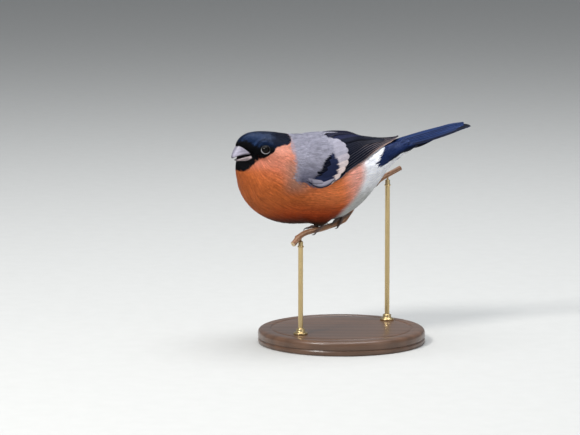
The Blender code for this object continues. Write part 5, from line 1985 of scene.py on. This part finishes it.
@dataclass(frozen=True)
class Bill:
    """Short, swollen bill, a little parted, with mouth and tongue, in the head's own frame."""

    upper_edge: tuple = ((-46.8, 46.4), (-50.5, 45.7), (-54, 45.4), (-57.2, 44.7), (-59.4, 43.7),
                         (-60.3, 43.1))
    upper_ridge: tuple = ((-54.6, 53.2), (-56.4, 51.9), (-58.1, 49.9), (-59.5, 47.5), (-60.3, 45.3),
                          (-60.6, 43.7))
    upper_width: tuple = (4.5, 4.3, 3.8, 2.8, 1.5, 0.5)
    lower_edge: tuple = ((-46.8, 44.9), (-50, 44.6), (-53.2, 43.9), (-56, 43), (-58.4, 42.3))
    lower_keel: tuple = ((-47.6, 40.2), (-50.4, 40.1), (-53.4, 40.4), (-56.2, 41), (-58.6, 41.9))
    lower_width: tuple = (4.3, 4, 3.3, 2.3, 0.7)
    rows: int = 46
    arch: int = 41
    # painted sheen: the pale horn colours stand for light on a black bill; dark_horn is the bill's own
    # black
    horn: Colour = (0.45, 0.43, 0.535)
    lower_horn_sheen: Colour = (0.80, 0.66, 0.68)
    dark_horn: Colour = (0.022, 0.020, 0.024)
    inside: Colour = (0.030, 0.012, 0.012)
    rolled: float = 0.22            # how deep the horn's inner face lies, over the horn's height
    # half width and height, reach and level, and colour of the mouth's floor and of the tongue
    flesh: tuple = ((3.6, 0.9, 8.6, 45.1, (0.030, 0.010, 0.010)),
                    (1.5, 0.55, 10.4, 44.6, (0.16, 0.060, 0.055)))

    def _half(self, pose: Pose, edge: Sequence, ridge: Sequence, width: Sequence, upper: bool) -> MeshBatch:
        """One half: an arch from one cutting edge over the ridge to the other, closed below.

        Args:
            pose: How the bird and its head are turned.
            edge: Side view of the cutting edge from the gape to the tip.
            ridge: Side view of the ridge or keel.
            width: Half width along the edge.
            upper: Whether it is the upper half.

        Returns:
            The half's mesh.
        """
        u = np.linspace(0, 1, self.rows)[:, None]
        e, r, w = (SmoothLine.evenly(v)(u[:, 0])[:, None] for v in (edge, ridge, width))
        phi = np.linspace(0, math.pi, self.arch)[None, :]
        rise = np.sin(phi)
        # the cutting edge is rolled in a little and the sides bulge above it
        side = np.sign(np.cos(phi)) * np.abs(np.cos(phi)) ** 0.92 * (1 - 0.05 * np.exp(-(rise / 0.12) ** 2))
        growth = 0.025 * np.sin(u * 46 + 2.5 * rise) * (1 - u) * (0.4 + 0.6 * rise)
        x = e[..., 0] + (r[..., 0] - e[..., 0]) * rise
        z = e[..., 1] + (r[..., 1] - e[..., 1]) * rise
        outer = np.stack([x - growth, w * side, z + (growth if upper else -growth)], -1)
        depth = self.rolled * (1 - side ** 2)
        inner = np.stack([e[..., 0] + (r[..., 0] - e[..., 0]) * depth,
                          w * side * 0.93, e[..., 1] + (r[..., 1] - e[..., 1]) * depth], -1)[:, ::-1]
        ring = np.concatenate([outer, inner], axis=1)
        # painted sheen: pale sides where the black horn catches light, dark along the cutting edge, the
        # ridge and the tip
        edge_dark = np.exp(-(rise / 0.16) ** 2)
        tip_dark = eased(u, 0.70, 0.98)
        base_dark = 1 - eased(u, 0, 0.12)
        lines = 1 - 0.16 * eased(np.sin(rise * 17 + 2.5 * u + 1.2 * np.sin(9 * u)), 0.1, 1)
        if upper:
            pale = (1 - 0.80 * edge_dark) * (1 - 0.80 * tip_dark) * (1 - 0.45 * base_dark)
            pale = pale * (1 - 0.55 * eased(rise, 0.72, 0.99)) * lines
            pale = pale * (1 - 0.30 * np.exp(-((u - 0.30) / 0.14) ** 2 - ((rise - 0.50) / 0.25) ** 2))
        else:
            # painted highlight: pale bands and a pale spot near the gape on the black lower half
            spot = np.exp(-((u - 0.20) / 0.09) ** 2) * np.exp(-((rise - 0.30) / 0.16) ** 2)
            pale = (0.29 + 0.60 * spot + 0.34 * np.exp(-((rise - 0.12) / 0.09) ** 2)
                    + 0.24 * np.exp(-((rise - 0.52) / 0.11) ** 2)) * (1 - 0.6 * tip_dark) * lines
        tint = mixed(self.dark_horn, self.horn if upper else self.lower_horn_sheen, pale[..., None])
        batch = MeshBatch()
        batch.add(pose.from_head(ring), [grid_faces(self.rows, 2 * self.arch)],
                  np.concatenate([tint, np.broadcast_to(self.inside, tint.shape)], axis=1))
        for row in (0, -1):
            batch.cap(pose.from_head(ring[row]), self.dark_horn)
        return batch

    def build(self, pose: Pose, horn: Material, flesh: Material) -> None:
        """Make both halves, the floor of the mouth and the tongue.

        Args:
            pose: How the bird and its head are turned.
            horn: Material of both halves.
            flesh: Material of the mouth.
        """
        top = self._half(pose, self.upper_edge, self.upper_ridge, self.upper_width, True)
        top.build("bill_upper_horn", [horn], pose, "bill_horn", "bill_upper")
        low = self._half(pose, self.lower_edge, self.lower_keel, self.lower_width, False)
        low.build("bill_lower_horn", [horn], pose, "bill_horn", "bill_lower")
        mouth = MeshBatch()
        u = np.linspace(0, 1, 20)[:, None]
        turn = full_turn(20)[None, :]
        size = np.sqrt(np.maximum(1 - u ** 4, 0))
        for half_width, half_height, reach, level, colour in self.flesh:
            x = -47.2 - reach * u + 0 * turn
            z = level - 1.5 * u ** 1.6 + half_height * size * np.sin(turn)
            y = half_width * (1 - 0.45 * u) * size * np.cos(turn)
            mouth.add(pose.from_head(np.stack([x, y, z], -1)), [grid_faces(20, 20)], colour)
        mouth.build("mouth", [flesh], pose, "leg_skin")


# --- perch, feet and stand ---

@dataclass(frozen=True)
class PerchForm:
    """Route and thickness of the cut stem, in world millimetres."""

    route: tuple = ((-30.2, -29, 65.6), (-23.6, -22.3, 71.2), (-10, -7.6, 73), (1.6, 4.8, 76.4),
                    (11, 16.8, 87.6), (23.8, 24.4, 98.2), (37.4, 31.6, 105.2))
    radius: float = 1.6
    root_swell: float = 1.04
    taper: float = 0.12
    nodes: Point = (0.09, 0.50, 0.80)
    node_swell: float = 0.35
    node_width: float = 0.022
    length: float = 102.8

    def line(self) -> SmoothLine:
        """Middle line of the stem."""
        return SmoothLine.evenly(self.route)

    def thickness(self, share: Array) -> Array:
        """Radius of the stem, swollen where leaves once grew."""
        swell = sum(np.exp(-((share - place) / self.node_width) ** 2) for place in self.nodes)
        return self.radius * (self.root_swell - self.taper * share) + self.node_swell * swell

    def frame(self, share: Array) -> tuple[Array, Array, Array, Array]:
        """Point of the stem, its direction, upward normal and sideways normal.

        Args:
            share: Parts of the stem's length.

        Returns:
            A point and three unit directions for each.
        """
        line = self.line()
        share = np.asarray(share, float)
        along = unit(line(np.minimum(share + 1e-3, 1)) - line(np.maximum(share - 1e-3, 0)))
        up = unit(np.array([0, 0, 1]) - along[..., 2:] * along)
        return line(share), along, up, np.cross(up, along)


@dataclass(frozen=True)
class Perch:
    """Cut length of stem with bark ridges, leaf scars and sawn ends."""

    form: PerchForm = PerchForm()
    steps: int = 420
    sides: int = 56
    pores: int = 46
    bark: Colour = (0.235, 0.115, 0.062)
    pale: Colour = (0.46, 0.32, 0.22)
    wood: Colour = (0.60, 0.46, 0.28)
    pith: Colour = (0.28, 0.18, 0.09)

    def build(self, bark: Material, wood: Material) -> bpy.types.Object:
        """Make the stem.

        Args:
            bark: Material round it.
            wood: Material of the sawn ends.

        Returns:
            The piece.
        """
        f = self.form
        share = np.linspace(0, 1, self.steps)[:, None]
        turn = full_turn(self.sides)[None, :]
        ridge = (0.035 * np.sin(turn * 9 + 6 * np.sin(share * 9)) + 0.025 * np.sin(turn * 17 - share * 21)
                 + 0.02 * np.sin(share * 160 + 2 * np.sin(turn * 3)))
        # small raised pores, and a pair of leaf scars at each node
        rng = np.random.default_rng(31)
        spots = np.zeros((self.steps, self.sides))
        for at, angle, size in zip(rng.random(self.pores), rng.uniform(0, 2 * math.pi, self.pores),
                                   rng.uniform(0.5, 1, self.pores)):
            off = np.angle(np.exp(1j * (turn - angle)))
            spots += np.exp(-((share - at) / 0.0045 / size) ** 2 - (off / 0.16 / size) ** 2)
        scars = np.zeros_like(spots)
        for k, node in enumerate(f.nodes):
            for half in (0, math.pi):
                off = np.angle(np.exp(1j * (turn - half - 0.9 - 1.5 * k)))
                scars += np.exp(-((share - node) / 0.010) ** 2 - (off / 0.5) ** 2)
        radius = (f.thickness(share) * (1 + 0.6 * ridge)
                  + 0.05 * np.minimum(spots, 1) + 0.28 * np.minimum(scars, 1))
        points = self._around(share[:, 0], radius, turn)
        streak = eased(np.sin(turn * 5 + 5 * np.sin(share * 7) + 2), 0.2, 1)[..., None] * 0.45
        mix = np.clip(streak + 0.6 * np.minimum(spots, 1)[..., None], 0, 1)
        colour = mixed(self.bark, self.pale, mix)
        colour = colour * (1 - 0.45 * np.minimum(scars, 1)[..., None]) * (1 + 3 * ridge[..., None])
        batch = MeshBatch()
        batch.add(points, [grid_faces(self.steps, self.sides)], colour)
        for end, way in ((0, -1), (self.steps - 1, 1)):
            centre, along, _, _ = f.frame(share[end, 0])
            rim = points[end]
            rings = [rim]
            colours = [np.broadcast_to(np.array(self.bark) * 0.6, rim.shape)]
            # rings of the sawn end: size over the rim, how far it stands out, colour
            for shrink, out, tint in ((0.96, 0.02, self.bark), (0.86, 0.10, self.wood),
                                      (0.55, 0.14, self.wood), (0.26, 0.13, self.wood),
                                      (0.22, 0.05, self.pith), (0.02, 0, self.pith)):
                rings.append(centre + (rim - centre) * shrink + along * way * out)
                colours.append(np.broadcast_to(tint, rim.shape))
            batch.add(np.stack(rings), [grid_faces(len(rings), self.sides)], np.stack(colours), finish=1)
        return batch.build("perch_stem", [bark, wood], None, "bark", "perch")

    def _around(self, share: Array, radius: Array, turn: Array) -> Array:
        """Points round the stem.

        Args:
            share: Parts of the stem's length.
            radius: Radius by share and turn.
            turn: Turns in radians.

        Returns:
            Points by share and turn.
        """
        point, _, up, across = self.form.frame(share)
        out = np.cos(turn)[..., None] * up[:, None] + np.sin(turn)[..., None] * across[:, None]
        return point[:, None] + radius[..., None] * out


@dataclass(frozen=True)
class Foot:
    """One foot round the stem: three toes forward, one back, each ending in a claw."""

    name: str
    share: float
    side: float
    hip: Point                      # bird frame, where the leg runs into the feathers
    form: PerchForm = PerchForm()
    radius: float = 0.78
    root_swell: float = 1.12
    taper: float = 0.30
    clearance: float = 0.30
    pad_half: Point = (1.45, 1.45, 1)
    claw_curl: float = 30.0
    claw_root: float = 0.50
    shank_radius: float = 0.95
    shank_front: Point = (-1, -0.3, 0)      # the way the shank's scales face
    # toe: run along the perch, turn round it at start and end, claw's run, number of joints
    toes: tuple = ((-8.8, 5, 38, -3.6, 3), (-6.2, 28, 116, -2.6, 2), (-6.8, -28, -112, -2.8, 4),
                   (5.4, 8, 44, 3.4, 1))
    skin: Colour = (0.075, 0.043, 0.035)
    scale_edge: Colour = (0.16, 0.105, 0.085)
    claw: Colour = (0.028, 0.022, 0.020)

    def _route(self, run: Array, turn: Array, clear: Array) -> Array:
        """Points at a run along the stem, a turn round it and a height over its bark.

        Args:
            run: Distances along the stem.
            turn: Turns in degrees.
            clear: Heights over the bark.

        Returns:
            Points in world millimetres.
        """
        share = self.share + run / self.form.length
        centre, _, up, across = self.form.frame(share)
        angle = (-self.side * np.radians(turn))[:, None]
        away = self.form.thickness(share) + clear
        return centre + away[:, None] * (np.cos(angle) * up + np.sin(angle) * across)

    @staticmethod
    def _tube(points: Array, radii: Array, outward: Array, sides: int,
              relief: Array | None = None) -> Array:
        """Grid of points round a line; turn 0 faces outward.

        Args:
            points: Points of the line.
            radii: Radius at each point.
            outward: Direction at each point that the tube's front faces.
            sides: Points round it.
            relief: Height of relief by point and side.

        Returns:
            Grid of points.
        """
        along = unit(np.gradient(points, axis=0))
        up = unit(outward - (outward * along).sum(axis=1, keepdims=True) * along)
        across = np.cross(along, up)
        turn = full_turn(sides)
        size = radii[:, None] + (0 if relief is None else relief)
        ring = np.cos(turn)[None, :, None] * up[:, None] + np.sin(turn)[None, :, None] * across[:, None]
        return points[:, None] + size[..., None] * ring

    def _scaled(self, batch: MeshBatch, points: Array, radii: Array, outward: Array,
                scutes: float) -> None:
        """Add a tube with a row of broad scales along its outer side.

        Args:
            batch: The mesh that collects it.
            points: Points of its line.
            radii: Radius at each point.
            outward: Direction that the scales face.
            scutes: Number of scales.
        """
        rows, sides = len(points), 28
        turn = full_turn(sides)[None, :]
        phase = np.linspace(0, scutes, rows)[:, None]
        front = eased(np.cos(turn), -0.1, 0.5)
        step = phase - np.floor(phase)
        scute = (1 - step) ** 1.5 * 0.075 - 0.05 * np.exp(-(step / 0.10) ** 2)
        pads = 0.05 * np.sin(phase * 12) * np.sin(turn * 5) * (1 - front)
        grid = self._tube(points, radii, outward, sides, scute * front + pads)
        groove = np.exp(-(np.minimum(step, 1 - step) / 0.10) ** 2) * front
        mix = (0.75 * groove + 0.20 * (1 - front))[..., None]
        batch.add(grid, [grid_faces(rows, sides)], mixed(self.skin, self.scale_edge, mix))
        for row in (0, -1):
            batch.cap(grid[row], self.skin)

    def build(self, pose: Pose, skin: Material, horn: Material) -> None:
        """Make the toes, the sole's pad, the shank and the claws.

        Args:
            pose: How the bird is turned.
            skin: Material of the scaled skin.
            horn: Material of the claws.
        """
        batch, claws = MeshBatch(), MeshBatch()
        for run, start, end, claw_run, joints in self.toes:
            u = np.linspace(0, 1, 60)
            swell = 1 + 0.10 * np.cos(2 * math.pi * joints * u) * (1 - 0.3 * u)
            size = self.radius * (self.root_swell - self.taper * u) * swell
            size = size * np.sqrt(np.clip(1 - ((u - 0.93) / 0.075) ** 2 * (u > 0.93), 0.05, 1))
            line = self._route(run * u, start + (end - start) * u, self.clearance + size)
            out = line - self._route(run * u, start + (end - start) * u, -self.form.radius + 0 * u)
            self._scaled(batch, line, size, out, 8 * abs(run) / 6 + 3)
            v = np.linspace(0, 1, 30)
            turn = end + math.copysign(self.claw_curl, end) * v
            clear = self.clearance + 0.45 + 0.62 * np.sin(math.pi * (0.12 + 0.88 * v)) + 0.1 * v
            claw_line = self._route(run + (claw_run + 0.5) * v - math.copysign(0.5, run), turn, clear)
            claw_out = claw_line - self._route(run + claw_run * v, turn, -self.form.radius + 0 * v)
            claw_size = self.claw_root * (1 - v) ** 0.75 + 0.05
            grid = self._tube(claw_line, claw_size, claw_out, 16)
            grooves = 1 + 0.5 * np.cos(full_turn(16)) ** 2
            tint = np.array(self.claw) * (grooves[None, :, None] * (1 + 0.8 * v[:, None, None]))
            claws.add(grid, [grid_faces(30, 16)], tint)
        point, _, up, _ = self.form.frame(np.array([self.share]))
        pad = point[0] + up[0] * (self.form.thickness(np.array([self.share]))[0] + 0.45 + 0.9)
        polar = np.linspace(0.02, math.pi - 0.02, 20)[:, None]
        turn = full_turn(28)[None, :]
        lumps = 1 + 0.05 * np.sin(turn * 7) * np.sin(polar * 9)
        egg = np.stack([np.sin(polar) * np.cos(turn), np.sin(polar) * np.sin(turn),
                        np.cos(polar) + 0 * turn], -1)
        batch.add(pad + egg * lumps[..., None] * self.pad_half, [grid_faces(20, 28)], self.skin)
        hip = pose.to_world(np.array(self.hip)) / MM
        u = np.linspace(0, 1, 40)[:, None]
        shank = pad + (hip - pad) * u
        size = self.shank_radius * (1.08 - 0.10 * np.sin(math.pi * u[:, 0]))
        self._scaled(batch, shank, size, np.broadcast_to(self.shank_front, shank.shape), 7)
        batch.build("foot_skin_" + self.name, [skin], None, "leg_skin", "foot_" + self.name)
        claws.build("claws_" + self.name, [horn], None, "leg_skin")


@dataclass(frozen=True)
class Stand:
    """Turned base and two short rods with collars that carry the stem."""

    form: PerchForm = PerchForm()
    # height and radius down the base's profile, from the middle of its top
    profile: tuple = ((9, 0), (9, 36), (9, 42.6), (8.8, 43), (8.45, 43.4), (8.45, 44), (8.8, 44.4),
                      (9, 44.8), (9, 48.6), (8.85, 50), (8.4, 51), (7.6, 51.7), (6.5, 52), (4, 52),
                      (3.6, 51.8), (3.2, 51.3), (2.8, 51.8), (2.4, 52), (0.9, 52), (0.3, 51.7), (0, 51.2),
                      (0, 0))
    base_top: float = 9.0
    rod_radius: float = 1.5
    # where along the stem each rod stands
    rods: tuple = (("front", 0.13), ("back", 0.90))
    sides: int = 144
    wood: Colour = (0.105, 0.052, 0.028)
    brass: Colour = (0.62, 0.47, 0.24)

    def _turned(self, batch: MeshBatch, profile: Array, centre: tuple[float, float], sides: int,
                colour: Colour) -> None:
        """Add a turned shape.

        Args:
            batch: The mesh that collects it.
            profile: Rows of height and radius.
            centre: Place of its axis.
            sides: Number of points round it.
            colour: Its colour.
        """
        turn = full_turn(sides)
        z = np.repeat(profile[:, :1], sides, axis=1)
        x = centre[0] + profile[:, 1:] * np.cos(turn)
        y = centre[1] + profile[:, 1:] * np.sin(turn)
        batch.add(np.stack([x, y, z], -1), [grid_faces(len(profile), sides)[:, ::-1]], colour)

    def build(self, wood: Material, metal: Material) -> None:
        """Make the base and both rods.

        Args:
            wood: Material of the base.
            metal: Material of the rods.
        """
        base = MeshBatch()
        self._turned(base, self._softened(np.array(self.profile)), (0, 0), self.sides, self.wood)
        base.build("stand_base_turned", [wood], None, "base_wood", "stand_base")
        for name, share in self.rods:
            point, along, _, _ = self.form.frame(np.array([share]))
            widest = self.form.thickness(np.array([share]))[0] + self.form.node_swell
            level = math.hypot(along[0][0], along[0][1])
            top = point[0][2] - (widest + self.rod_radius * abs(along[0][2])) / level - 0.3
            r, b = self.rod_radius, self.base_top
            # lower collar, shaft, upper collar and the pin that runs up into the stem
            rows = [(b + 0.02, 0), (b + 0.02, 4.4), (b + 0.9, 4.4), (b + 1.2, 4.1), (b + 1.5, 3.2),
                    (b + 2, 2.7), (b + 3.4, 2.6), (b + 3.7, 2.3), (b + 3.9, r + 0.1), (b + 4.2, r),
                    (top - 4.2, r), (top - 4, r + 0.05), (top - 3.8, 1.95), (top - 3.2, 2),
                    (top - 3, 1.6), (top - 2.8, r), (top - 0.5, r), (top - 0.1, r - 0.25), (top, 0.6),
                    (point[0][2] + 0.4, 0.6), (point[0][2] + 0.4, 0)]
            rod = MeshBatch()
            self._turned(rod, self._softened(np.array(rows)), (point[0][0], point[0][1]), 40, self.brass)
            rod.build("stand_rod_%s_turned" % name, [metal], None, "rod_metal", "stand_rod_" + name)

    @staticmethod
    def _softened(rows: Array) -> Array:
        """Profile with each corner held by two near points, so that it shades as an edge.

        Args:
            rows: Height and radius of each corner.

        Returns:
            The rows with the points added.
        """
        out = [rows[0]]
        for a, b in zip(rows[:-1], rows[1:]):
            span = float(np.linalg.norm(b - a))
            hold = min(0.12, 0.25 * span) / max(span, 1e-6)
            out += [a + (b - a) * hold, b - (b - a) * hold]
        out.append(rows[-1])
        return np.array(out)


# --- other finishes ---

class Grain(Enum):
    """How a finish breaks up its colour."""

    MOTTLED = "mottled"
    TURNED = "turned"


@dataclass(frozen=True)
class SolidFinish:
    """Finish of a solid piece: tinted surface with grain, wear and relief."""

    name: str
    roughness: float
    gloss: float = 0.5
    metallic: float = 0.0
    coat: float = 0.0
    coat_roughness: float = 0.05
    scale: float = 600.0
    variation: float = 0.2
    bump: float = 0.3
    bump_distance: float = FINE_RELIEF
    grain: Grain = Grain.MOTTLED
    ring_share: float = 0.45
    stretch: Point = (1, 1, 1)
    gloss_tint: Colour = (1, 1, 1)

    def make(self) -> Material:
        """Build the material.

        Returns:
            The material.
        """
        bench = NodeBench(self.name)
        place = bench.stretched(bench.node("ShaderNodeTexCoord"), "Object", self.stretch)
        coarse = bench.noise(place, "Vector", self.scale * 0.22, 4, 0.6)
        fine = bench.noise(place, "Vector", self.scale, 4, 0.65, Distortion=0.4)
        last, given = bench.total(coarse, fine), NOISE_SUM
        if self.grain is Grain.TURNED:
            rings = bench.node("ShaderNodeTexWave", values={"Scale": self.scale * 0.12, "Distortion": 5,
                                                            "Detail": 3, "Detail Scale": 1.2},
                               wave_type="BANDS", bands_direction="Y")
            bench.link(place, "Vector", rings, "Vector")
            grained = bench.node("ShaderNodeMath", operation="MULTIPLY_ADD")
            grained.inputs[1].default_value = self.ring_share
            bench.link(rings, "Fac", grained, 0)
            bench.link(last, "Value", grained, 2)
            last, given = grained, (NOISE_SUM[0], NOISE_SUM[1] + 0.4)
        bench.tinted(last, given, (1 - self.variation, 1 + self.variation))
        bench.roughened(coarse, self.roughness * 0.8, min(self.roughness * 1.25, 1))
        bench.relief(fine, self.bump, self.bump_distance)
        bench.set({"Specular IOR Level": self.gloss, "Metallic": self.metallic, "Coat Weight": self.coat,
                   "Coat Roughness": self.coat_roughness, "Specular Tint": (*self.gloss_tint, 1)})
        return bench.material


EYE_FINISH = SolidFinish("eye_gloss", 0.05, gloss=0.14, variation=0.3, bump=0.02, scale=900.0)
LID_FINISH = SolidFinish("eyelid_skin", 0.55, gloss=0.25, scale=2500.0, variation=0.25, bump=0.5)
HORN_FINISH = SolidFinish("bill_horn", 0.42, gloss=0.40, scale=1500.0, variation=0.28, bump=0.35,
                          stretch=(0.35, 1, 1))
MOUTH_FINISH = SolidFinish("mouth_flesh", 0.35, scale=2200.0, variation=0.3, bump=0.4)
FOOT_FINISH = SolidFinish("foot_skin", 0.50, scale=2600.0, variation=0.3, bump=0.5)
CLAW_FINISH = SolidFinish("claw_horn", 0.30, gloss=0.6, scale=1800.0, variation=0.25, bump=0.2)
BARK_FINISH = SolidFinish("bark", 0.68, gloss=0.35, scale=1300.0, variation=0.38, bump=0.8,
                          bump_distance=0.0002, stretch=(0.35, 0.5, 0.45))
CUT_FINISH = SolidFinish("cut_wood", 0.75, gloss=0.3, scale=2400.0, variation=0.25, bump=0.5)
WOOD_FINISH = SolidFinish("base_wood", 0.36, gloss=0.5, coat=0.35, coat_roughness=0.18, scale=260.0,
                          variation=0.42, bump=0.12, grain=Grain.TURNED, stretch=(0.10, 1, 1))
BRASS_FINISH = SolidFinish("rod_brass", 0.30, gloss=0.5, metallic=1.0, scale=900.0, variation=0.14,
                           bump=0.10, stretch=(1, 1, 0.25))
SKIN_FINISH = PlumageFinish("down_over_skin", 0.9, 0.15, (1.0, 1.0, 1.0), 0.0, (1.0, 1.0, 1.0), 0.2, 0.4)


# --- studio ---

@dataclass(frozen=True)
class Studio:
    """Plain pale floor, soft lights and the camera."""

    aim: Point = (-0.03204, 0, 0.0781)
    distance: float = 2.0
    elevation: float = math.radians(8)
    frame_width: float = 580.0
    millimetres_per_dot: float = 0.62
    sensor: float = 36.0
    floor_size: float = 12.0
    floor_colours: tuple[Colour, Colour] = ((0.50, 0.50, 0.485), (0.54, 0.54, 0.525))
    # name, place, size, power, colour
    lamps: tuple = (("key", (-0.75, -0.90, 1.15), 0.42, 21, (1, 0.985, 0.96)),
                    ("top", (0.10, 0.15, 1.5), 1.4, 25.5, (0.94, 0.965, 1)),
                    ("fill", (1.3, -1, 0.6), 1.2, 3, (1, 0.98, 0.96)))
    sky: Colour = (0.86, 0.90, 0.95)
    sky_strength: float = 0.33

    def build(self) -> None:
        """Set up the surroundings, the floor, the lights and the camera."""
        scene = bpy.context.scene
        scene.view_settings.view_transform = "Standard"
        scene.view_settings.look = "None"
        world = bpy.data.worlds.new("studio")
        world.use_nodes = True
        background = world.node_tree.nodes["Background"]
        background.inputs["Color"].default_value = (*self.sky, 1)
        background.inputs["Strength"].default_value = self.sky_strength
        scene.world = world
        self._floor(scene)
        self._lights(scene)
        self._camera(scene)

    def _floor(self, scene: bpy.types.Scene) -> None:
        """Lay the floor.

        Args:
            scene: The scene that takes it.
        """
        half = 0.5 * self.floor_size
        mesh = bpy.data.meshes.new("studio_floor")
        mesh.from_pydata([(-half, -half, 0), (half, -half, 0), (half, half, 0), (-half, half, 0)], [],
                         [(0, 1, 2, 3)])
        floor = bpy.data.objects.new("studio_floor", mesh)
        scene.collection.objects.link(floor)
        mesh.materials.append(self._floor_finish())
        floor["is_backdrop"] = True

    def _floor_finish(self) -> Material:
        """Pale matt floor, faintly mottled.

        Returns:
            The material.
        """
        bench = NodeBench("studio_floor")
        grain = bench.noise(bench.node("ShaderNodeTexCoord"), "Object", 90, 4, 0.5)
        ramp = bench.node("ShaderNodeMix", data_type="RGBA")
        bench.link(grain, "Fac", ramp, 0)
        for slot, colour in zip((6, 7), self.floor_colours):
            ramp.inputs[slot].default_value = (*colour, 1)
        bench.tree.links.new(ramp.outputs[2], bench.shader.inputs["Base Color"])
        bench.set({"Roughness": 0.8, "Specular IOR Level": 0.2})
        return bench.material

    def _lights(self, scene: bpy.types.Scene) -> None:
        """Hang the lamps, each facing the model.

        Args:
            scene: The scene that takes them.
        """
        target = np.array(self.aim)
        for name, spot, size, power, colour in self.lamps:
            light = bpy.data.lights.new(name, "AREA")
            light.shape = "DISK"
            light.size = size
            light.energy = power
            light.color = colour
            lamp = bpy.data.objects.new(name, light)
            lamp.location = spot
            lamp.rotation_euler = self._facing(np.array(spot), target)
            scene.collection.objects.link(lamp)

    def _camera(self, scene: bpy.types.Scene) -> None:
        """Set up the camera in front of the model, a little above it.

        Args:
            scene: The scene that takes it.
        """
        camera = bpy.data.cameras.new("camera")
        camera.sensor_width = self.sensor
        camera.lens = self.sensor * self.distance / (self.frame_width * self.millimetres_per_dot * MM)
        camera.clip_end = 30
        eye = bpy.data.objects.new("camera", camera)
        back = np.array([0, -math.cos(self.elevation), math.sin(self.elevation)])
        eye.location = np.array(self.aim) + self.distance * back
        eye.rotation_euler = (0.5 * math.pi - self.elevation, 0, 0)
        scene.collection.objects.link(eye)
        scene.camera = eye

    @staticmethod
    def _facing(spot: Array, target: Array) -> tuple[float, float, float]:
        """Turn that points a lamp from its spot at a target.

        Args:
            spot: The lamp's place.
            target: The place it faces.

        Returns:
            Euler angles in radians.
        """
        x, y, z = target - spot
        tilt = math.atan2(math.hypot(x, y), -z)
        return (tilt, 0, math.atan2(y, x) - 0.5 * math.pi)


# --- whole model ---

@dataclass
class Bullfinch:
    """The whole bird."""

    pose: Pose = Pose()
    form: BodyForm = BodyForm()
    markings: Markings = Markings()
    feet: tuple = (Foot("left", 0.30, -1, BodyForm.hips[0]), Foot("right", 0.47, 1, BodyForm.hips[1]))

    def build(self) -> None:
        """Make every piece of the bird."""
        surface = self.form.tabulate()
        log.info("surface: %d rows", surface.rows)
        plumage = Plumage(self.form, surface, self.markings, self.pose)
        finishes = {zone: finish.make() for zone, finish in FINISHES.items()}
        coat = plumage.build_coat(finishes)
        plumage.build_skin(coat, SKIN_FINISH.make())
        wing_finish = VaneFinish("flight_feathers").make()
        for side in (-1, 1):
            Wing(surface, self.pose, side).build(wing_finish)
        Tail(self.form.tail, self.pose).build(VaneFinish("tail_feathers", 0.36).make())
        ball, lid = EYE_FINISH.make(), LID_FINISH.make()
        for eye in EYES:
            eye.build(self.pose, ball, lid)
        Bill().build(self.pose, HORN_FINISH.make(), MOUTH_FINISH.make())
        foot_skin, claw_horn = FOOT_FINISH.make(), CLAW_FINISH.make()
        for foot in self.feet:
            foot.build(self.pose, foot_skin, claw_horn)


def flat(box: Sequence) -> list[list[float]]:
    """Box corners as plain lists of numbers."""
    return [[float(v) for v in corner] for corner in box]


def main() -> None:
    """Build the bird, its perch and stand, and the studio."""
    logging.basicConfig(level=logging.INFO, format="%(name)s %(message)s")
    Bullfinch().build()
    Perch().build(BARK_FINISH.make(), CUT_FINISH.make())
    Stand().build(WOOD_FINISH.make(), BRASS_FINISH.make())
    Studio().build()
    {"cad": flat(CAD_BOX), "visual": flat(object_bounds())}


if __name__ == "__main__":
    main()
